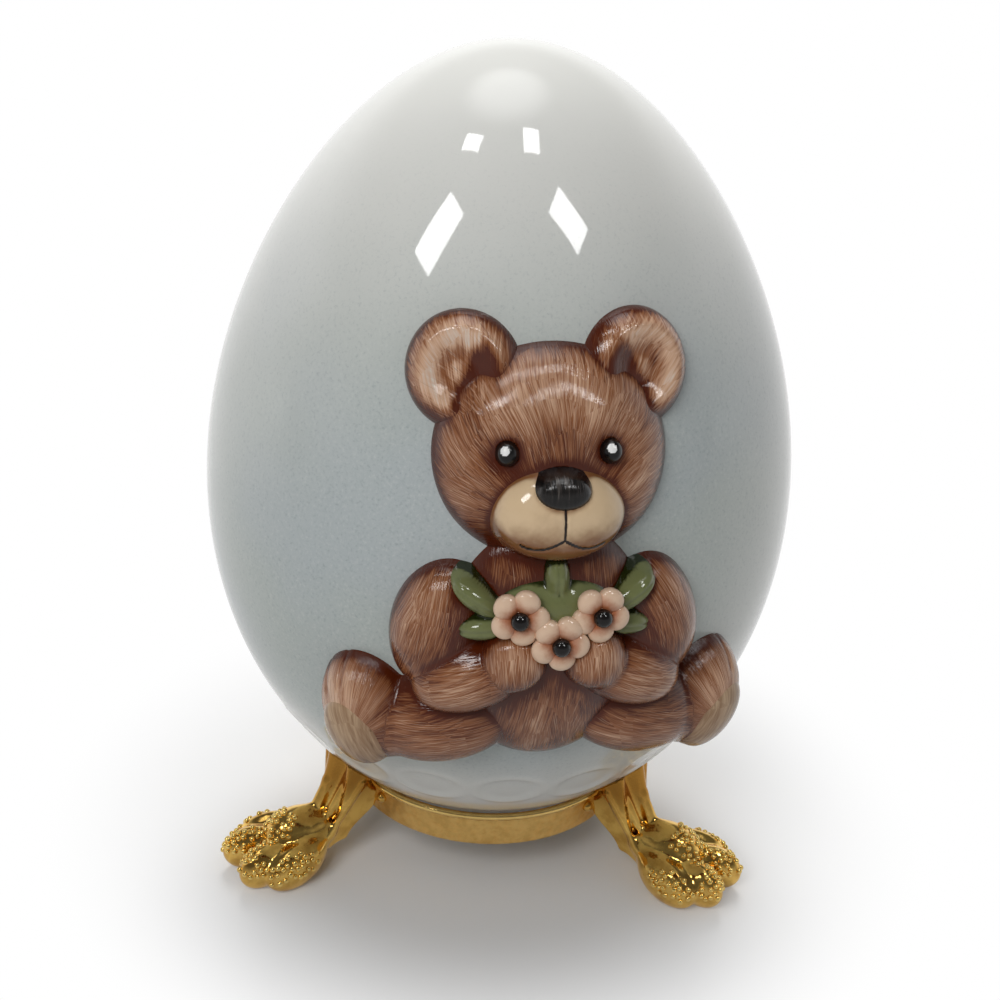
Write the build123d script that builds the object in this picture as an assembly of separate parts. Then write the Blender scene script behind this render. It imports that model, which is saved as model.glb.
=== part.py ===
"""Decorative porcelain egg on a three-legged paw-foot stand.

The egg is a hollow slip-cast shell with a small firing vent underneath. A seated teddy bear
holding a posy is laid on its front in low relief, form by form, each form cut to the ones that
lie over it. The stand is a flared brass seat ring carried by three cast legs that end in lion's
paws. The egg only rests in the ring.

Millimetres. +Z is up, the origin is on the floor under the egg's axis, and the front is -Y.
"""
from build123d import *
import math
import os

# Egg shell
EGG_HEIGHT = 85.7
EGG_RADIUS = 31.3  # at mid height
EGG_TAPER_SHARE = 0.112  # how much slimmer the top is than the bottom
EGG_FULL_SHARE = 0.047  # how much both ends are drawn in
EGG_SPANS = 8
WALL = 3.0
VENT_RADIUS = 1.5

# Seat ring
RING_BASE_RADIUS = 15.3
RING_TOP_RADIUS = 16.0
RING_BASE_HEIGHT = 5.7
RING_BAND = 4.55
RING_THICKNESS = 1.1
LIP_RADIUS = 0.35
EGG_CLEARANCE = 0.2

# Legs
LEG_COUNT = 3
LEG_REACH = 32.0
LEG_HEIGHT = 15.2
LEG_WIDTH = 6.4
PAW_WIDTH = 10.9
PAW_HEIGHT = 7.2

# Relief
BEAR_HEIGHT = 48.0
BEAR_BASE = 19.3  # above the egg's bottom
BEAR_TURN_DEG = 10.0  # from the front, to the viewer's right
BLOSSOM_RADIUS = 2.8
BLOSSOM_THICKNESS = 2.2
BLOSSOM_TAPER_DEG = 5.0
PETAL_COUNT = 5
SEED_RADIUS = 0.9
CRUMB_SHARE = 0.001  # of a piece's volume: smaller leftovers of the cutting are dropped

OVERRUN = 5.0  # how far cutting shapes reach past what they cut

# Shank sections from the top down: height of LEG_HEIGHT, then inner face, side edge and ridge
# of LEG_REACH, and the half width of LEG_WIDTH
SHANK_SHARES = (
    (1.000, 0.530, 0.596, 0.620, 0.50),
    (0.850, 0.500, 0.601, 0.630, 0.50),
    (0.650, 0.470, 0.608, 0.643, 0.45),
    (0.434, 0.478, 0.624, 0.667, 0.39),
    (0.320, 0.556, 0.638, 0.684, 0.36),
    (0.200, 0.594, 0.663, 0.706, 0.34),
)
FLUTE_SHARE = 0.12  # how far the flutes beside the ridge come forward of the side edges

# Paw body and toes: centre along LEG_REACH, aside of PAW_WIDTH and up of PAW_HEIGHT, then the
# half sizes of the same three
PAW_SHARES = (0.750, 0.00, 0.46, 0.131, 0.275, 0.540)
PAW_TILT_DEG = 10.0  # toes down
TOE_SHARES = (
    (0.903, 0.183, 0.319, 0.097, 0.165, 0.347),
    (0.806, 0.330, 0.325, 0.122, 0.161, 0.350),
)
TOE_SPLAYS_DEG = (10.0, 14.0)
TOE_TILT_DEG = 8.0

# Rounded forms of the relief on the viewer's right or in the middle, in shares of BEAR_HEIGHT:
# across and up to the centre, half width, half height, half depth, and how far the top stands
# off the egg. The last number turns the form, in degrees.
HEAD_SHARES = (0.000, 0.730, 0.236, 0.228, 0.150, 0.086, 0)
MUZZLE_SHARES = (0.000, 0.630, 0.128, 0.094, 0.074, 0.132, 0)
NOSE_SHARES = (0.000, 0.676, 0.052, 0.035, 0.030, 0.146, 0)
EYE_SHARES = (0.098, 0.738, 0.024, 0.026, 0.022, 0.096, 0)
EAR_SHARES = (0.205, 0.876, 0.118, 0.124, 0.090, 0.062, -20)
DISH_SHARES = (0.205, 0.872, 0.074, 0.080, 0.052, 0.142, -20)
TORSO_SHARES = (0.000, 0.318, 0.216, 0.290, 0.155, 0.084, 0)
ARM_SHARES = (
    (0.215, 0.365, 0.105, 0.150, 0.105, 0.090, 14),
    (0.146, 0.290, 0.130, 0.076, 0.085, 0.124, -24),
    (0.070, 0.345, 0.066, 0.070, 0.070, 0.138, 0),
)
LEG_SHARES = (
    (0.225, 0.136, 0.175, 0.110, 0.120, 0.098, -15),
    (0.372, 0.134, 0.108, 0.134, 0.125, 0.108, -16),
)
SOLE_SHARES = (0.376, 0.122, 0.070, 0.092, 0.044, 0.114, -16)
MOUND_SHARES = (0.000, 0.425, 0.128, 0.090, 0.080, 0.104, 0)
LEAF_SHARES = (
    (0.140, 0.460, 0.058, 0.026, 0.036, 0.092, 32),
    (0.128, 0.405, 0.056, 0.026, 0.036, 0.096, -8),
)
TOP_LEAF_SHARES = (0.000, 0.500, 0.026, 0.050, 0.036, 0.092, 0)

# Blossoms: across, up and how far the top stands off the egg, in shares of BEAR_HEIGHT
BLOSSOM_SHARES = (
    (-0.068, 0.448, 0.128),
    (0.068, 0.448, 0.128),
    (0.000, 0.400, 0.136),
)
PETAL_RADIUS_SHARE = 0.40  # of BLOSSOM_RADIUS
PETAL_REACH_SHARE = 0.60


def bulge_at(s):
    """How full the egg is against an ellipse, from its bottom at -1 to its top at 1."""
    return 1 - EGG_TAPER_SHARE * s - EGG_FULL_SHARE * s * s


def egg_radius_at(height):
    """Outer radius of the egg at a height above its bottom."""
    s = 2 * height / EGG_HEIGHT - 1
    return EGG_RADIUS * math.sqrt(max(0, 1 - s * s)) * bulge_at(s)


def egg_solid(grow=0.0):
    """The egg as a solid standing on its bottom pole, grown outwards all over."""
    across = (EGG_RADIUS + grow) / EGG_RADIUS
    along = (EGG_HEIGHT + 2 * grow) / EGG_HEIGHT
    points = []
    for k in range(EGG_SPANS + 1):
        height = EGG_HEIGHT / 2 * (1 - math.cos(math.pi * k / EGG_SPANS))
        points.append(Vector(egg_radius_at(height) * across, height * along - grow))
    slopes = [Vector(-s * math.pi * EGG_RADIUS * across * bulge_at(s), 0) for s in (-1, 1)]
    steps = [k / EGG_SPANS for k in range(EGG_SPANS + 1)]
    outline = Edge.make_spline(points, slopes, parameters=steps, scale=False)
    face = make_face([outline, Line(points[-1], points[0])])
    return revolve(Plane.XZ * face, Axis.Z)


def height_of_radius(radius):
    """Height above the egg's bottom where its lower half is that wide."""
    low, high = 0.0, EGG_HEIGHT / 3
    for _ in range(50):
        middle = (low + high) / 2
        if egg_radius_at(middle) < radius:
            low = middle
        else:
            high = middle
    return low


RING_TOP_HEIGHT = RING_BASE_HEIGHT + RING_BAND
SEAT_RADIUS = RING_TOP_RADIUS - RING_THICKNESS / 2
EGG_LIFT = RING_TOP_HEIGHT - height_of_radius(SEAT_RADIUS)


def seated(shape):
    """A shape made at the egg's own bottom, moved up to where the egg rests."""
    return Pos(0, 0, EGG_LIFT) * shape


def make_egg_shell():
    """Hollow casting with its firing vent at the bottom."""
    vent = Pos(0, 0, -WALL) * extrude(Circle(VENT_RADIUS), 3 * WALL)
    return egg_solid() - egg_solid(-WALL) - vent


def ring_outer_lines():
    """The ring's outer face in profile: a flared band under a rounded lip."""
    foot = (RING_BASE_RADIUS, RING_BASE_HEIGHT)
    neck = (RING_TOP_RADIUS, RING_TOP_HEIGHT - 2 * LIP_RADIUS)
    crown = (RING_TOP_RADIUS + LIP_RADIUS, RING_TOP_HEIGHT - LIP_RADIUS)
    top = (RING_TOP_RADIUS, RING_TOP_HEIGHT)
    return Line(foot, neck) + ThreePointArc(neck, crown, top)


def make_seat_ring():
    """The band, its inner edge eased to the egg."""
    inside = Polyline(
        (RING_TOP_RADIUS, RING_TOP_HEIGHT),
        (RING_TOP_RADIUS - RING_THICKNESS, RING_TOP_HEIGHT),
        (RING_BASE_RADIUS - RING_THICKNESS, RING_BASE_HEIGHT),
        (RING_BASE_RADIUS, RING_BASE_HEIGHT),
    )
    face = make_face(ring_outer_lines() + inside)
    return revolve(Plane.XZ * face, Axis.Z) - seated(egg_solid(EGG_CLEARANCE))


def ring_envelope():
    """Everything inside the ring's outer face, used to seat the legs on it."""
    low, high = RING_BASE_HEIGHT - OVERRUN, RING_TOP_HEIGHT + OVERRUN
    inside = Polyline(
        (RING_TOP_RADIUS, RING_TOP_HEIGHT),
        (RING_TOP_RADIUS, high),
        (0, high),
        (0, low),
        (RING_BASE_RADIUS, low),
        (RING_BASE_RADIUS, RING_BASE_HEIGHT),
    )
    return revolve(Plane.XZ * make_face(ring_outer_lines() + inside), Axis.Z)


def blob(half_sizes):
    """An ellipsoid about the origin."""
    return scale(Sphere(1), by=half_sizes)


def shank_section(shares):
    """One level of the shank: a flat back, two side edges, and a ridge between two flutes."""
    up, inner, edge, ridge, half = shares
    x_in, x_edge, x_ridge = inner * LEG_REACH, edge * LEG_REACH, ridge * LEG_REACH
    x_flute = x_edge + FLUTE_SHARE * (x_ridge - x_edge)
    y = half * LEG_WIDTH
    front = [(x_in, -y), (x_edge, -y), (x_flute, -y / 2), (x_ridge, 0)]
    back = [(x_flute, y / 2), (x_edge, y), (x_in, y), (x_in, -y)]
    return Pos(0, 0, up * LEG_HEIGHT) * make_face(Polyline(*front, *back))


def make_leg():
    """One cast leg reaching out along +X: a fluted shank, a paw and four splayed toes."""
    leg = loft([shank_section(shares) for shares in SHANK_SHARES])
    along, aside, up, long_half, wide_half, high_half = PAW_SHARES
    paw = blob((long_half * LEG_REACH, wide_half * PAW_WIDTH, high_half * PAW_HEIGHT))
    leg += Pos(along * LEG_REACH, aside * PAW_WIDTH, up * PAW_HEIGHT) * Rot(0, PAW_TILT_DEG, 0) * paw
    for shares, splay in zip(TOE_SHARES, TOE_SPLAYS_DEG):
        along, aside, up, long_half, wide_half, high_half = shares
        halves = (long_half * LEG_REACH, wide_half * PAW_WIDTH, high_half * PAW_HEIGHT)
        for side in (-1, 1):
            place = Pos(along * LEG_REACH, side * aside * PAW_WIDTH, up * PAW_HEIGHT)
            leg += place * Rot(0, 0, side * splay) * Rot(0, TOE_TILT_DEG, 0) * blob(halves)
    below = Pos(LEG_REACH / 2, 0, -OVERRUN / 2) * Box(2 * LEG_REACH, 2 * PAW_WIDTH, OVERRUN)
    return leg - [below, ring_envelope(), seated(egg_solid(EGG_CLEARANCE))]


def make_legs():
    """The rear leg and the two front ones, evenly round the ring."""
    leg = make_leg()
    names = ("paw_leg_rear", "paw_leg_left", "paw_leg_right")
    return {name: Rot(0, 0, 90 + k * 360 / LEG_COUNT) * leg for k, name in enumerate(names)}


def egg_spot(across, up, off):
    """A plane facing out of the egg at a place on the relief, off its surface."""
    height = BEAR_BASE + up
    radius = egg_radius_at(height)
    step = EGG_HEIGHT / 1000
    lean = (egg_radius_at(height - step) - egg_radius_at(height + step)) / (2 * step)
    turn = math.radians(BEAR_TURN_DEG) + across / EGG_RADIUS
    outward = Vector(math.sin(turn), -math.cos(turn), 0)
    normal = (outward + Vector(0, 0, lean)).normalized()
    spot = outward * radius + Vector(0, 0, height) + normal * off
    return Plane(origin=spot, x_dir=(math.cos(turn), math.sin(turn), 0), z_dir=normal)


def form(shares, side=1):
    """One rounded form of the relief, on the viewer's right or mirrored to the left."""
    across, up, half_width, half_height, half_depth, rise = (v * BEAR_HEIGHT for v in shares[:6])
    place = egg_spot(side * across, up, rise - half_depth)
    return place * Rot(0, 0, side * shares[6]) * blob((half_width, half_height, half_depth))


def both(shares):
    """A form and its mirror image."""
    return [form(shares, side) for side in (-1, 1)]


def fused(shapes):
    """Several overlapping or separate shapes as one."""
    whole = shapes[0]
    for shape in shapes[1:]:
        whole = whole + shape
    return whole


def make_blossom():
    """A five-petalled flower, flat below, standing on the XY plane."""
    outline = Circle(PETAL_REACH_SHARE * BLOSSOM_RADIUS)
    for k in range(PETAL_COUNT):
        petal = Pos(PETAL_REACH_SHARE * BLOSSOM_RADIUS, 0) * Circle(PETAL_RADIUS_SHARE * BLOSSOM_RADIUS)
        outline += Rot(0, 0, 90 + k * 360 / PETAL_COUNT) * petal
    return extrude(outline, BLOSSOM_THICKNESS, taper=BLOSSOM_TAPER_DEG)


def make_posy():
    """Foliage, blossoms and their dark middles."""
    leaves = [form(MOUND_SHARES), form(TOP_LEAF_SHARES)]
    for shares in LEAF_SHARES:
        leaves += both(shares)
    blossoms, seeds = [], []
    for shares in BLOSSOM_SHARES:
        across, up, rise = (v * BEAR_HEIGHT for v in shares)
        blossoms.append(egg_spot(across, up, rise - BLOSSOM_THICKNESS) * make_blossom())
        seeds.append(egg_spot(across, up, rise) * Sphere(SEED_RADIUS))
    return fused(leaves), fused(blossoms), fused(seeds)


def raw_relief():
    """Every piece of the relief uncut, from the ones that lie on top to the ones underneath."""
    leaves, blossoms, seeds = make_posy()
    arms = [fused([form(shares, side) for shares in ARM_SHARES]) for side in (-1, 1)]
    legs = [fused([form(shares, side) for shares in LEG_SHARES]) for side in (-1, 1)]
    ears = [ear - dish for ear, dish in zip(both(EAR_SHARES), both(DISH_SHARES))]
    return {
        "bear_nose": form(NOSE_SHARES),
        "bear_eyes": fused(both(EYE_SHARES)),
        "bear_soles": fused(both(SOLE_SHARES)),
        "bear_muzzle": form(MUZZLE_SHARES),
        "bear_arm_left": arms[0],
        "bear_arm_right": arms[1],
        "bear_leg_left": legs[0],
        "bear_leg_right": legs[1],
        "blossom_seeds": seeds,
        "posy_blossoms": blossoms,
        "posy_leaves": leaves,
        "bear_head": form(HEAD_SHARES),
        "bear_ears": fused(ears),
        "bear_torso": form(TORSO_SHARES),
    }


def boxes_meet(one, other):
    """Whether two shapes are near enough to overlap."""
    a, b = one.bounding_box(), other.bounding_box()
    return all(
        low < other_high and other_low < high
        for low, high, other_low, other_high in zip(a.min, a.max, b.min, b.max)
    )


def without_crumbs(shape):
    """A cut piece without the slivers that the cutting leaves beside it."""
    return fused([solid for solid in shape.solids() if solid.volume > CRUMB_SHARE * shape.volume])


def make_relief():
    """The relief's pieces, each cut to the egg and to the pieces that lie over it."""
    over = [egg_solid()]
    pieces = {}
    for name, raw in raw_relief().items():
        piece = raw
        for upper in over:
            if boxes_meet(raw, upper):
                piece = piece - upper
        pieces[name] = seated(without_crumbs(piece))
        over.append(raw)
    return pieces


def main():
    """Writes one STEP per sub-part."""
    os.makedirs("parts", exist_ok=True)
    parts = {"egg_shell": seated(make_egg_shell()), "seat_ring": make_seat_ring()}
    parts.update(make_legs())
    parts.update(make_relief())
    for name, shape in parts.items():
        volumes = [round(solid.volume, 1) for solid in shape.solids()]
        print(name, volumes)
        export_step(shape, f"parts/{name}.step")


main()
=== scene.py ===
"""Looks of a decorative glazed egg with a teddy bear in relief, on a brass lion-paw stand.

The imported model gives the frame: every piece below lies where its solid lies. Lengths are in
millimetres until a mesh is made, and MM turns them into metres there. +Z is up, -Y the front.
"""

import logging
import math
from dataclasses import dataclass, field, replace
from enum import Enum
from typing import Callable, Sequence

import bpy
import numpy as np
from mathutils import Matrix, Vector


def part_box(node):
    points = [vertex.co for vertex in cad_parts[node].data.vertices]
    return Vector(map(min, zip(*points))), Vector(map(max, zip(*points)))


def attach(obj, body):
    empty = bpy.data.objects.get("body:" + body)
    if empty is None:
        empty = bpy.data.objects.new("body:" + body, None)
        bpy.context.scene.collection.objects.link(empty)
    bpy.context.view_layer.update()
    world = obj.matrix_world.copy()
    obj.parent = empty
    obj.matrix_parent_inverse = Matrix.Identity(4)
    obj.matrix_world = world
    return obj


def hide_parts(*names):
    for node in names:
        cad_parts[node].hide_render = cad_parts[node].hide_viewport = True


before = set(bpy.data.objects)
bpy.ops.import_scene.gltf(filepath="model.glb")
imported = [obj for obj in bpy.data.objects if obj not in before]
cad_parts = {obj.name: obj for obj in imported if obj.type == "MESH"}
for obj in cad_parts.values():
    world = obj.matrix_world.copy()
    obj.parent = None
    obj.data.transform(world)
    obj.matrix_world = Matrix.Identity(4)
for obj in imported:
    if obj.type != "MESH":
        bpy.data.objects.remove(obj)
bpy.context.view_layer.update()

MM = 0.001
Colour = tuple[float, float, float, float]
Points = np.ndarray
Place = tuple[float, float, float]
Pair = tuple[float, float]
Rows = tuple[tuple[float, ...], ...]
Settings = dict[str, object] | None
LOG = logging.getLogger("egg")
ON_AXIS = 1e-9  # an end of a profile that is nearer than this closes to a pole
DRAWS_IN = 2  # how often a net's corners are drawn onto its shape
LEAST_STEEP = 0.3  # keeps those draws short where the distance runs flat


def colour(*channels: int) -> Colour:
    """A colour as seen on a screen, turned into scene-linear values.

    Args:
        *channels: red, green and blue from 0 to 255.

    Returns:
        The linear colour with full alpha.
    """
    shares = [channel / 255 for channel in channels]
    return (*(v / 12.92 if v <= 0.04045 else ((v + 0.055) / 1.055) ** 2.4 for v in shares), 1.0)


def rotated(x: Points, y: Points, degrees: float) -> tuple[Points, Points]:
    """Two coordinates turned about their origin by an angle in degrees."""
    c, s = math.cos(math.radians(degrees)), math.sin(math.radians(degrees))
    return x * c - y * s, x * s + y * c


def smooth_step(low: float, high: float, value: Points) -> Points:
    """A soft ramp of a value, from 0 at low to 1 at high."""
    t = np.clip((value - low) / (high - low), 0, 1)
    return t * t * (3 - 2 * t)


def blend_max(one: Points, other: Points, reach: float) -> Points:
    """The higher of two surfaces, flowing into each other over a reach.

    Args:
        one: first surface.
        other: second surface.
        reach: how near in height they start to flow together.

    Returns:
        The blended surface.
    """
    near = np.maximum(reach - np.abs(one - other), 0) / reach
    return np.maximum(one, other) + near * near * reach / 4


def blend_min(one: Points, other: Points, reach: float) -> Points:
    """The lower of two surfaces, flowing into each other over a reach."""
    return -blend_max(-one, -other, reach)


def placed(name: str, data: bpy.types.ID, turn: Matrix = Matrix()) -> bpy.types.Object:
    """Puts data into the scene as an object, at the origin unless a matrix says where.

    Args:
        name: the object's name.
        data: its mesh, lamp or camera.
        turn: where it stands.

    Returns:
        The object.
    """
    made = bpy.data.objects.new(name, data)
    made.matrix_world = turn
    bpy.context.scene.collection.objects.link(made)
    return made


def area_lamp(name: str, size: Sequence[float], power: float, turn: Matrix) -> bpy.types.Object:
    """Hangs a rectangular lamp.

    Args:
        name: its name.
        size: its width and height, in metres.
        power: its power, in watts.
        turn: where it hangs. It shines along its own -Z.

    Returns:
        The lamp.
    """
    data = bpy.data.lights.new(name, "AREA")
    data.shape, (data.size, data.size_y), data.energy = "RECTANGLE", size, power
    return placed(name, data, turn)


def new_object(name: str, points: Points, faces: Points,
               attributes: dict[str, Points] | None = None) -> bpy.types.Object:
    """A smooth-shaded mesh object at the origin.

    Args:
        name: the piece's name.
        points: corner places in millimetres, one row each.
        faces: rows of four corner numbers. A fourth of -1 marks a triangle.
        attributes: values to keep on the corners, as rows of one or three numbers.

    Returns:
        The new object, linked to the scene.
    """
    counts = np.where(faces[:, 3] < 0, 3, 4)
    loops = faces.reshape(-1)
    loops = loops[loops >= 0]
    mesh = bpy.data.meshes.new(name)
    mesh.vertices.add(len(points))
    mesh.vertices.foreach_set("co", (points * MM).astype(np.float32).reshape(-1))
    mesh.loops.add(len(loops))
    mesh.loops.foreach_set("vertex_index", loops.astype(np.int32))
    mesh.polygons.add(len(faces))
    mesh.polygons.foreach_set("loop_start", (np.cumsum(counts) - counts).astype(np.int32))
    mesh.update(calc_edges=True)
    mesh.validate()
    mesh.shade_smooth()
    for key, values in (attributes or {}).items():
        flat = values.ndim == 1
        layer = mesh.attributes.new(key, "FLOAT" if flat else "FLOAT_VECTOR", "POINT")
        layer.data.foreach_set("value" if flat else "vector", values.astype(np.float32).reshape(-1))
    return placed(name, mesh)


def spun(profile: Points, steps: int) -> tuple[Points, Points, Points]:
    """A profile turned about the Z axis. An end on the axis closes to a pole.

    Args:
        profile: rows of radius and height, from the top round the outside to the end.
        steps: how many steps go round.

    Returns:
        Corner places, faces, and for each corner its turn in radians and its row.
    """
    turns = np.arange(steps) * 2 * math.pi / steps
    open_start, open_end = profile[0, 0] > ON_AXIS, profile[-1, 0] > ON_AXIS
    rows = profile[(0 if open_start else 1):(len(profile) if open_end else -1)]
    ring = np.stack([np.sin(turns), -np.cos(turns)], -1)
    points = np.concatenate([
        (rows[:, None, :1] * ring[None]).reshape(-1, 2),
        np.repeat(rows[:, 1], steps)[:, None]], 1)
    count = len(rows)
    here = np.arange(steps)
    there = np.roll(here, -1)
    last = count if (open_start and open_end) else count - 1
    top = (np.arange(last) * steps)[:, None]
    below = (((np.arange(last) + 1) % count) * steps)[:, None]
    faces = np.stack([top + here, below + here, below + there, top + there], -1).reshape(-1, 4)
    row_of = np.repeat(np.arange(count), steps)
    turn_of = np.tile(turns, count)
    caps = []
    for is_open, pole, row, one, two in ((open_start, profile[0, 1], 0, here, there),
                                         (open_end, profile[-1, 1], count - 1, there, here)):
        if not is_open:
            base = row * steps
            caps.append(np.stack([np.full(steps, len(points)), base + one, base + two,
                                  np.full(steps, -1)], -1))
            points = np.vstack([points, [0, 0, pole]])
            row_of, turn_of = np.append(row_of, row), np.append(turn_of, 0)
    return points, np.vstack([faces, *caps]), np.stack([turn_of, row_of], -1)


class Wire:
    """A node's output that takes part in sums. Each sum adds a node to its tree."""

    def __init__(self, nodes: "Nodes", socket: bpy.types.NodeSocket) -> None:
        """Keeps the output, and the builder of the tree that it is in."""
        self.nodes, self.socket = nodes, socket

    def __add__(self, other: object) -> "Wire":
        """This plus another."""
        return self.nodes.math("ADD", self, other)

    def __sub__(self, other: object) -> "Wire":
        """This minus another."""
        return self.nodes.math("SUBTRACT", self, other)

    def __rsub__(self, other: object) -> "Wire":
        """Another minus this."""
        return self.nodes.math("SUBTRACT", other, self)

    def __mul__(self, other: object) -> "Wire":
        """This times another."""
        return self.nodes.math("MULTIPLY", self, other)


class Nodes:
    """A small builder for one node tree."""

    prefix: str = "ShaderNode"
    tree: bpy.types.NodeTree

    def node(self, kind: str, settings: Settings = None, **inputs: object) -> bpy.types.Node:
        """Adds a node.

        Args:
            kind: the node's type, which may leave out this builder's prefix.
            settings: the node's own properties.
            **inputs: values or wires, by socket name with spaces as underscores.

        Returns:
            The new node.
        """
        made = self.tree.nodes.new(kind if "Node" in kind else self.prefix + kind)
        for key, value in (settings or {}).items():
            setattr(made, key, value)
        for key, value in inputs.items():
            self.feed(made.inputs[key.replace("_", " ")], value)
        return made

    def wires(self, kind: str, settings: Settings = None, **inputs: object) -> dict[str, Wire]:
        """Adds a node and returns its outputs by name."""
        return {s.name: Wire(self, s) for s in self.node(kind, settings, **inputs).outputs}

    def wire(self, kind: str, settings: Settings = None, **inputs: object) -> Wire:
        """Adds a node and returns its first output."""
        return Wire(self, self.node(kind, settings, **inputs).outputs[0])

    def feed(self, socket: bpy.types.NodeSocket, value: object) -> None:
        """Links a wire to a socket, or sets the socket to a value.

        Args:
            socket: the socket of a node.
            value: a wire or a plain value.
        """
        if isinstance(value, Wire):
            self.tree.links.new(value.socket, socket)
        else:
            socket.default_value = value

    def fed(self, made: bpy.types.Node, *values: object) -> bpy.types.Node:
        """Feeds a node's sockets in order and returns the node.

        Args:
            made: the node.
            *values: wires or plain values, in the sockets' order.

        Returns:
            The same node.
        """
        for socket, value in zip(made.inputs, values):
            self.feed(socket, value)
        return made

    def math(self, operation: str, *values: object) -> Wire:
        """A math node's result."""
        made = self.node("ShaderNodeMath", {"operation": operation})
        return Wire(self, self.fed(made, *values).outputs[0])

    def vector(self, operation: str, *values: object) -> Wire:
        """A vector math node's result, a number for a length or a dot product."""
        made = self.fed(self.node("ShaderNodeVectorMath", {"operation": operation}), *values)
        return Wire(self, made.outputs[1 if operation in ("LENGTH", "DOT_PRODUCT") else 0])


class Graph(Nodes):
    """A small builder for the nodes of one material, or of the room."""

    def __init__(self, name: str, world: bpy.types.World | None = None) -> None:
        """Starts an empty material of that name, or clears a world's nodes.

        Args:
            name: the material's name.
            world: a world to dress in the place of a new material.
        """
        self.material = world or bpy.data.materials.new(name)
        self.material.use_nodes = True
        self.tree = self.material.node_tree
        self.tree.nodes.clear()

    def mix(self, share: Wire, one: object, other: object, held: bool = True) -> Wire:
        """A colour mixed from one towards other. Where it isn't held it may pass white.

        Args:
            share: how much of the other.
            one: the first colour.
            other: the other colour.
            held: whether it is held within 0 and 1.

        Returns:
            The mixed colour.
        """
        made = self.node("Mix", {"data_type": "RGBA", "clamp_result": held})
        for number, value in ((0, share), (6, one), (7, other)):
            self.feed(made.inputs[number], value)
        return Wire(self, made.outputs[2])

    def ramp(self, value: Wire, low: float, high: float, to_low: float = 0.0,
             to_high: float = 1.0) -> Wire:
        """A value eased from one range to another, held at its ends."""
        made = self.node("MapRange", {"interpolation_type": "SMOOTHSTEP"})
        return Wire(self, self.fed(made, value, low, high, to_low, to_high).outputs[0])

    def attribute(self, name: str) -> Wire:
        """A number kept on the corners of the mesh."""
        return self.wires("Attribute", {"attribute_name": name})["Fac"]

    def noise(self, vector: Wire, scale: float, detail: float = 2.0,
              roughness: float = 0.5) -> Wire:
        """A noise value at a place."""
        return self.wire("TexNoise", Vector=vector, Scale=scale, Detail=detail, Roughness=roughness)

    def object_place(self) -> Wire:
        """The place on the object, in metres."""
        return self.wires("TexCoord")["Object"]

    def bump(self, height: Wire, distance: float, strength: float = 1.0) -> Wire:
        """A surface direction disturbed by a height, with its depth in metres."""
        return self.wire("Bump", Height=height, Distance=distance, Strength=strength)

    def ended(self, shader: Wire, output: str = "OutputMaterial") -> bpy.types.Material:
        """Ends the tree in a shader and returns what the tree belongs to."""
        self.node(output, Surface=shader)
        return self.material

    def surface(self, **inputs: object) -> bpy.types.Material:
        """Ends the material in one principled shader and returns it."""
        return self.ended(self.wire("BsdfPrincipled", **inputs))


@dataclass(frozen=True)
class CastingGlaze:
    """The egg's own glaze: white, with an airbrushed, finely speckled blue-grey."""

    white: Colour = colour(234, 234, 229)
    mist: Colour = colour(184, 192, 188)
    bloom: Colour = colour(184, 192, 193)
    fleck: Colour = colour(146, 156, 160)
    cloud_scale: float = 55.0
    cloud_share: float = 0.35
    drift_scale: float = 38.0
    fleck_size: float = 0.34
    drift_range: Pair = (0.42, 0.66)
    fleck_share: float = 0.5
    fleck_range: Pair = (0.52, 0.78)
    pale_share: float = 0.22
    pale_range: Pair = (0.48, 0.25)
    wave_scale: float = 90.0
    wave_depth: float = 0.00004
    roughness: float = 0.045
    refraction: float = 1.52

    def material(self) -> bpy.types.Material:
        """Builds the glaze. It reads how much was sprayed at each place.

        Returns:
            The glaze.
        """
        g = Graph("casting_glaze")
        place, spray = g.object_place(), g.attribute("spray")
        amount = spray + (g.noise(place, self.cloud_scale, 3.0) - 0.5) * self.cloud_share
        drift = g.ramp(g.noise(place, self.drift_scale), *self.drift_range)
        sprayed = g.mix(drift, self.mist, self.bloom)
        base = g.mix(g.ramp(amount, 0.0, 1.0), self.white, sprayed)
        fine = g.noise(place, 1 / (self.fleck_size * MM), 2.0, 0.7)
        for edges, share, tint in ((self.fleck_range, self.fleck_share, self.fleck),
                                   (self.pale_range, self.pale_share, self.white)):
            base = g.mix(g.ramp(fine, *edges) * spray * share, base, tint)
        waves = g.bump(g.noise(place, self.wave_scale, 1.0), self.wave_depth)
        return g.surface(Base_Color=base, Roughness=self.roughness, IOR=self.refraction,
                         Normal=waves)


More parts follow.
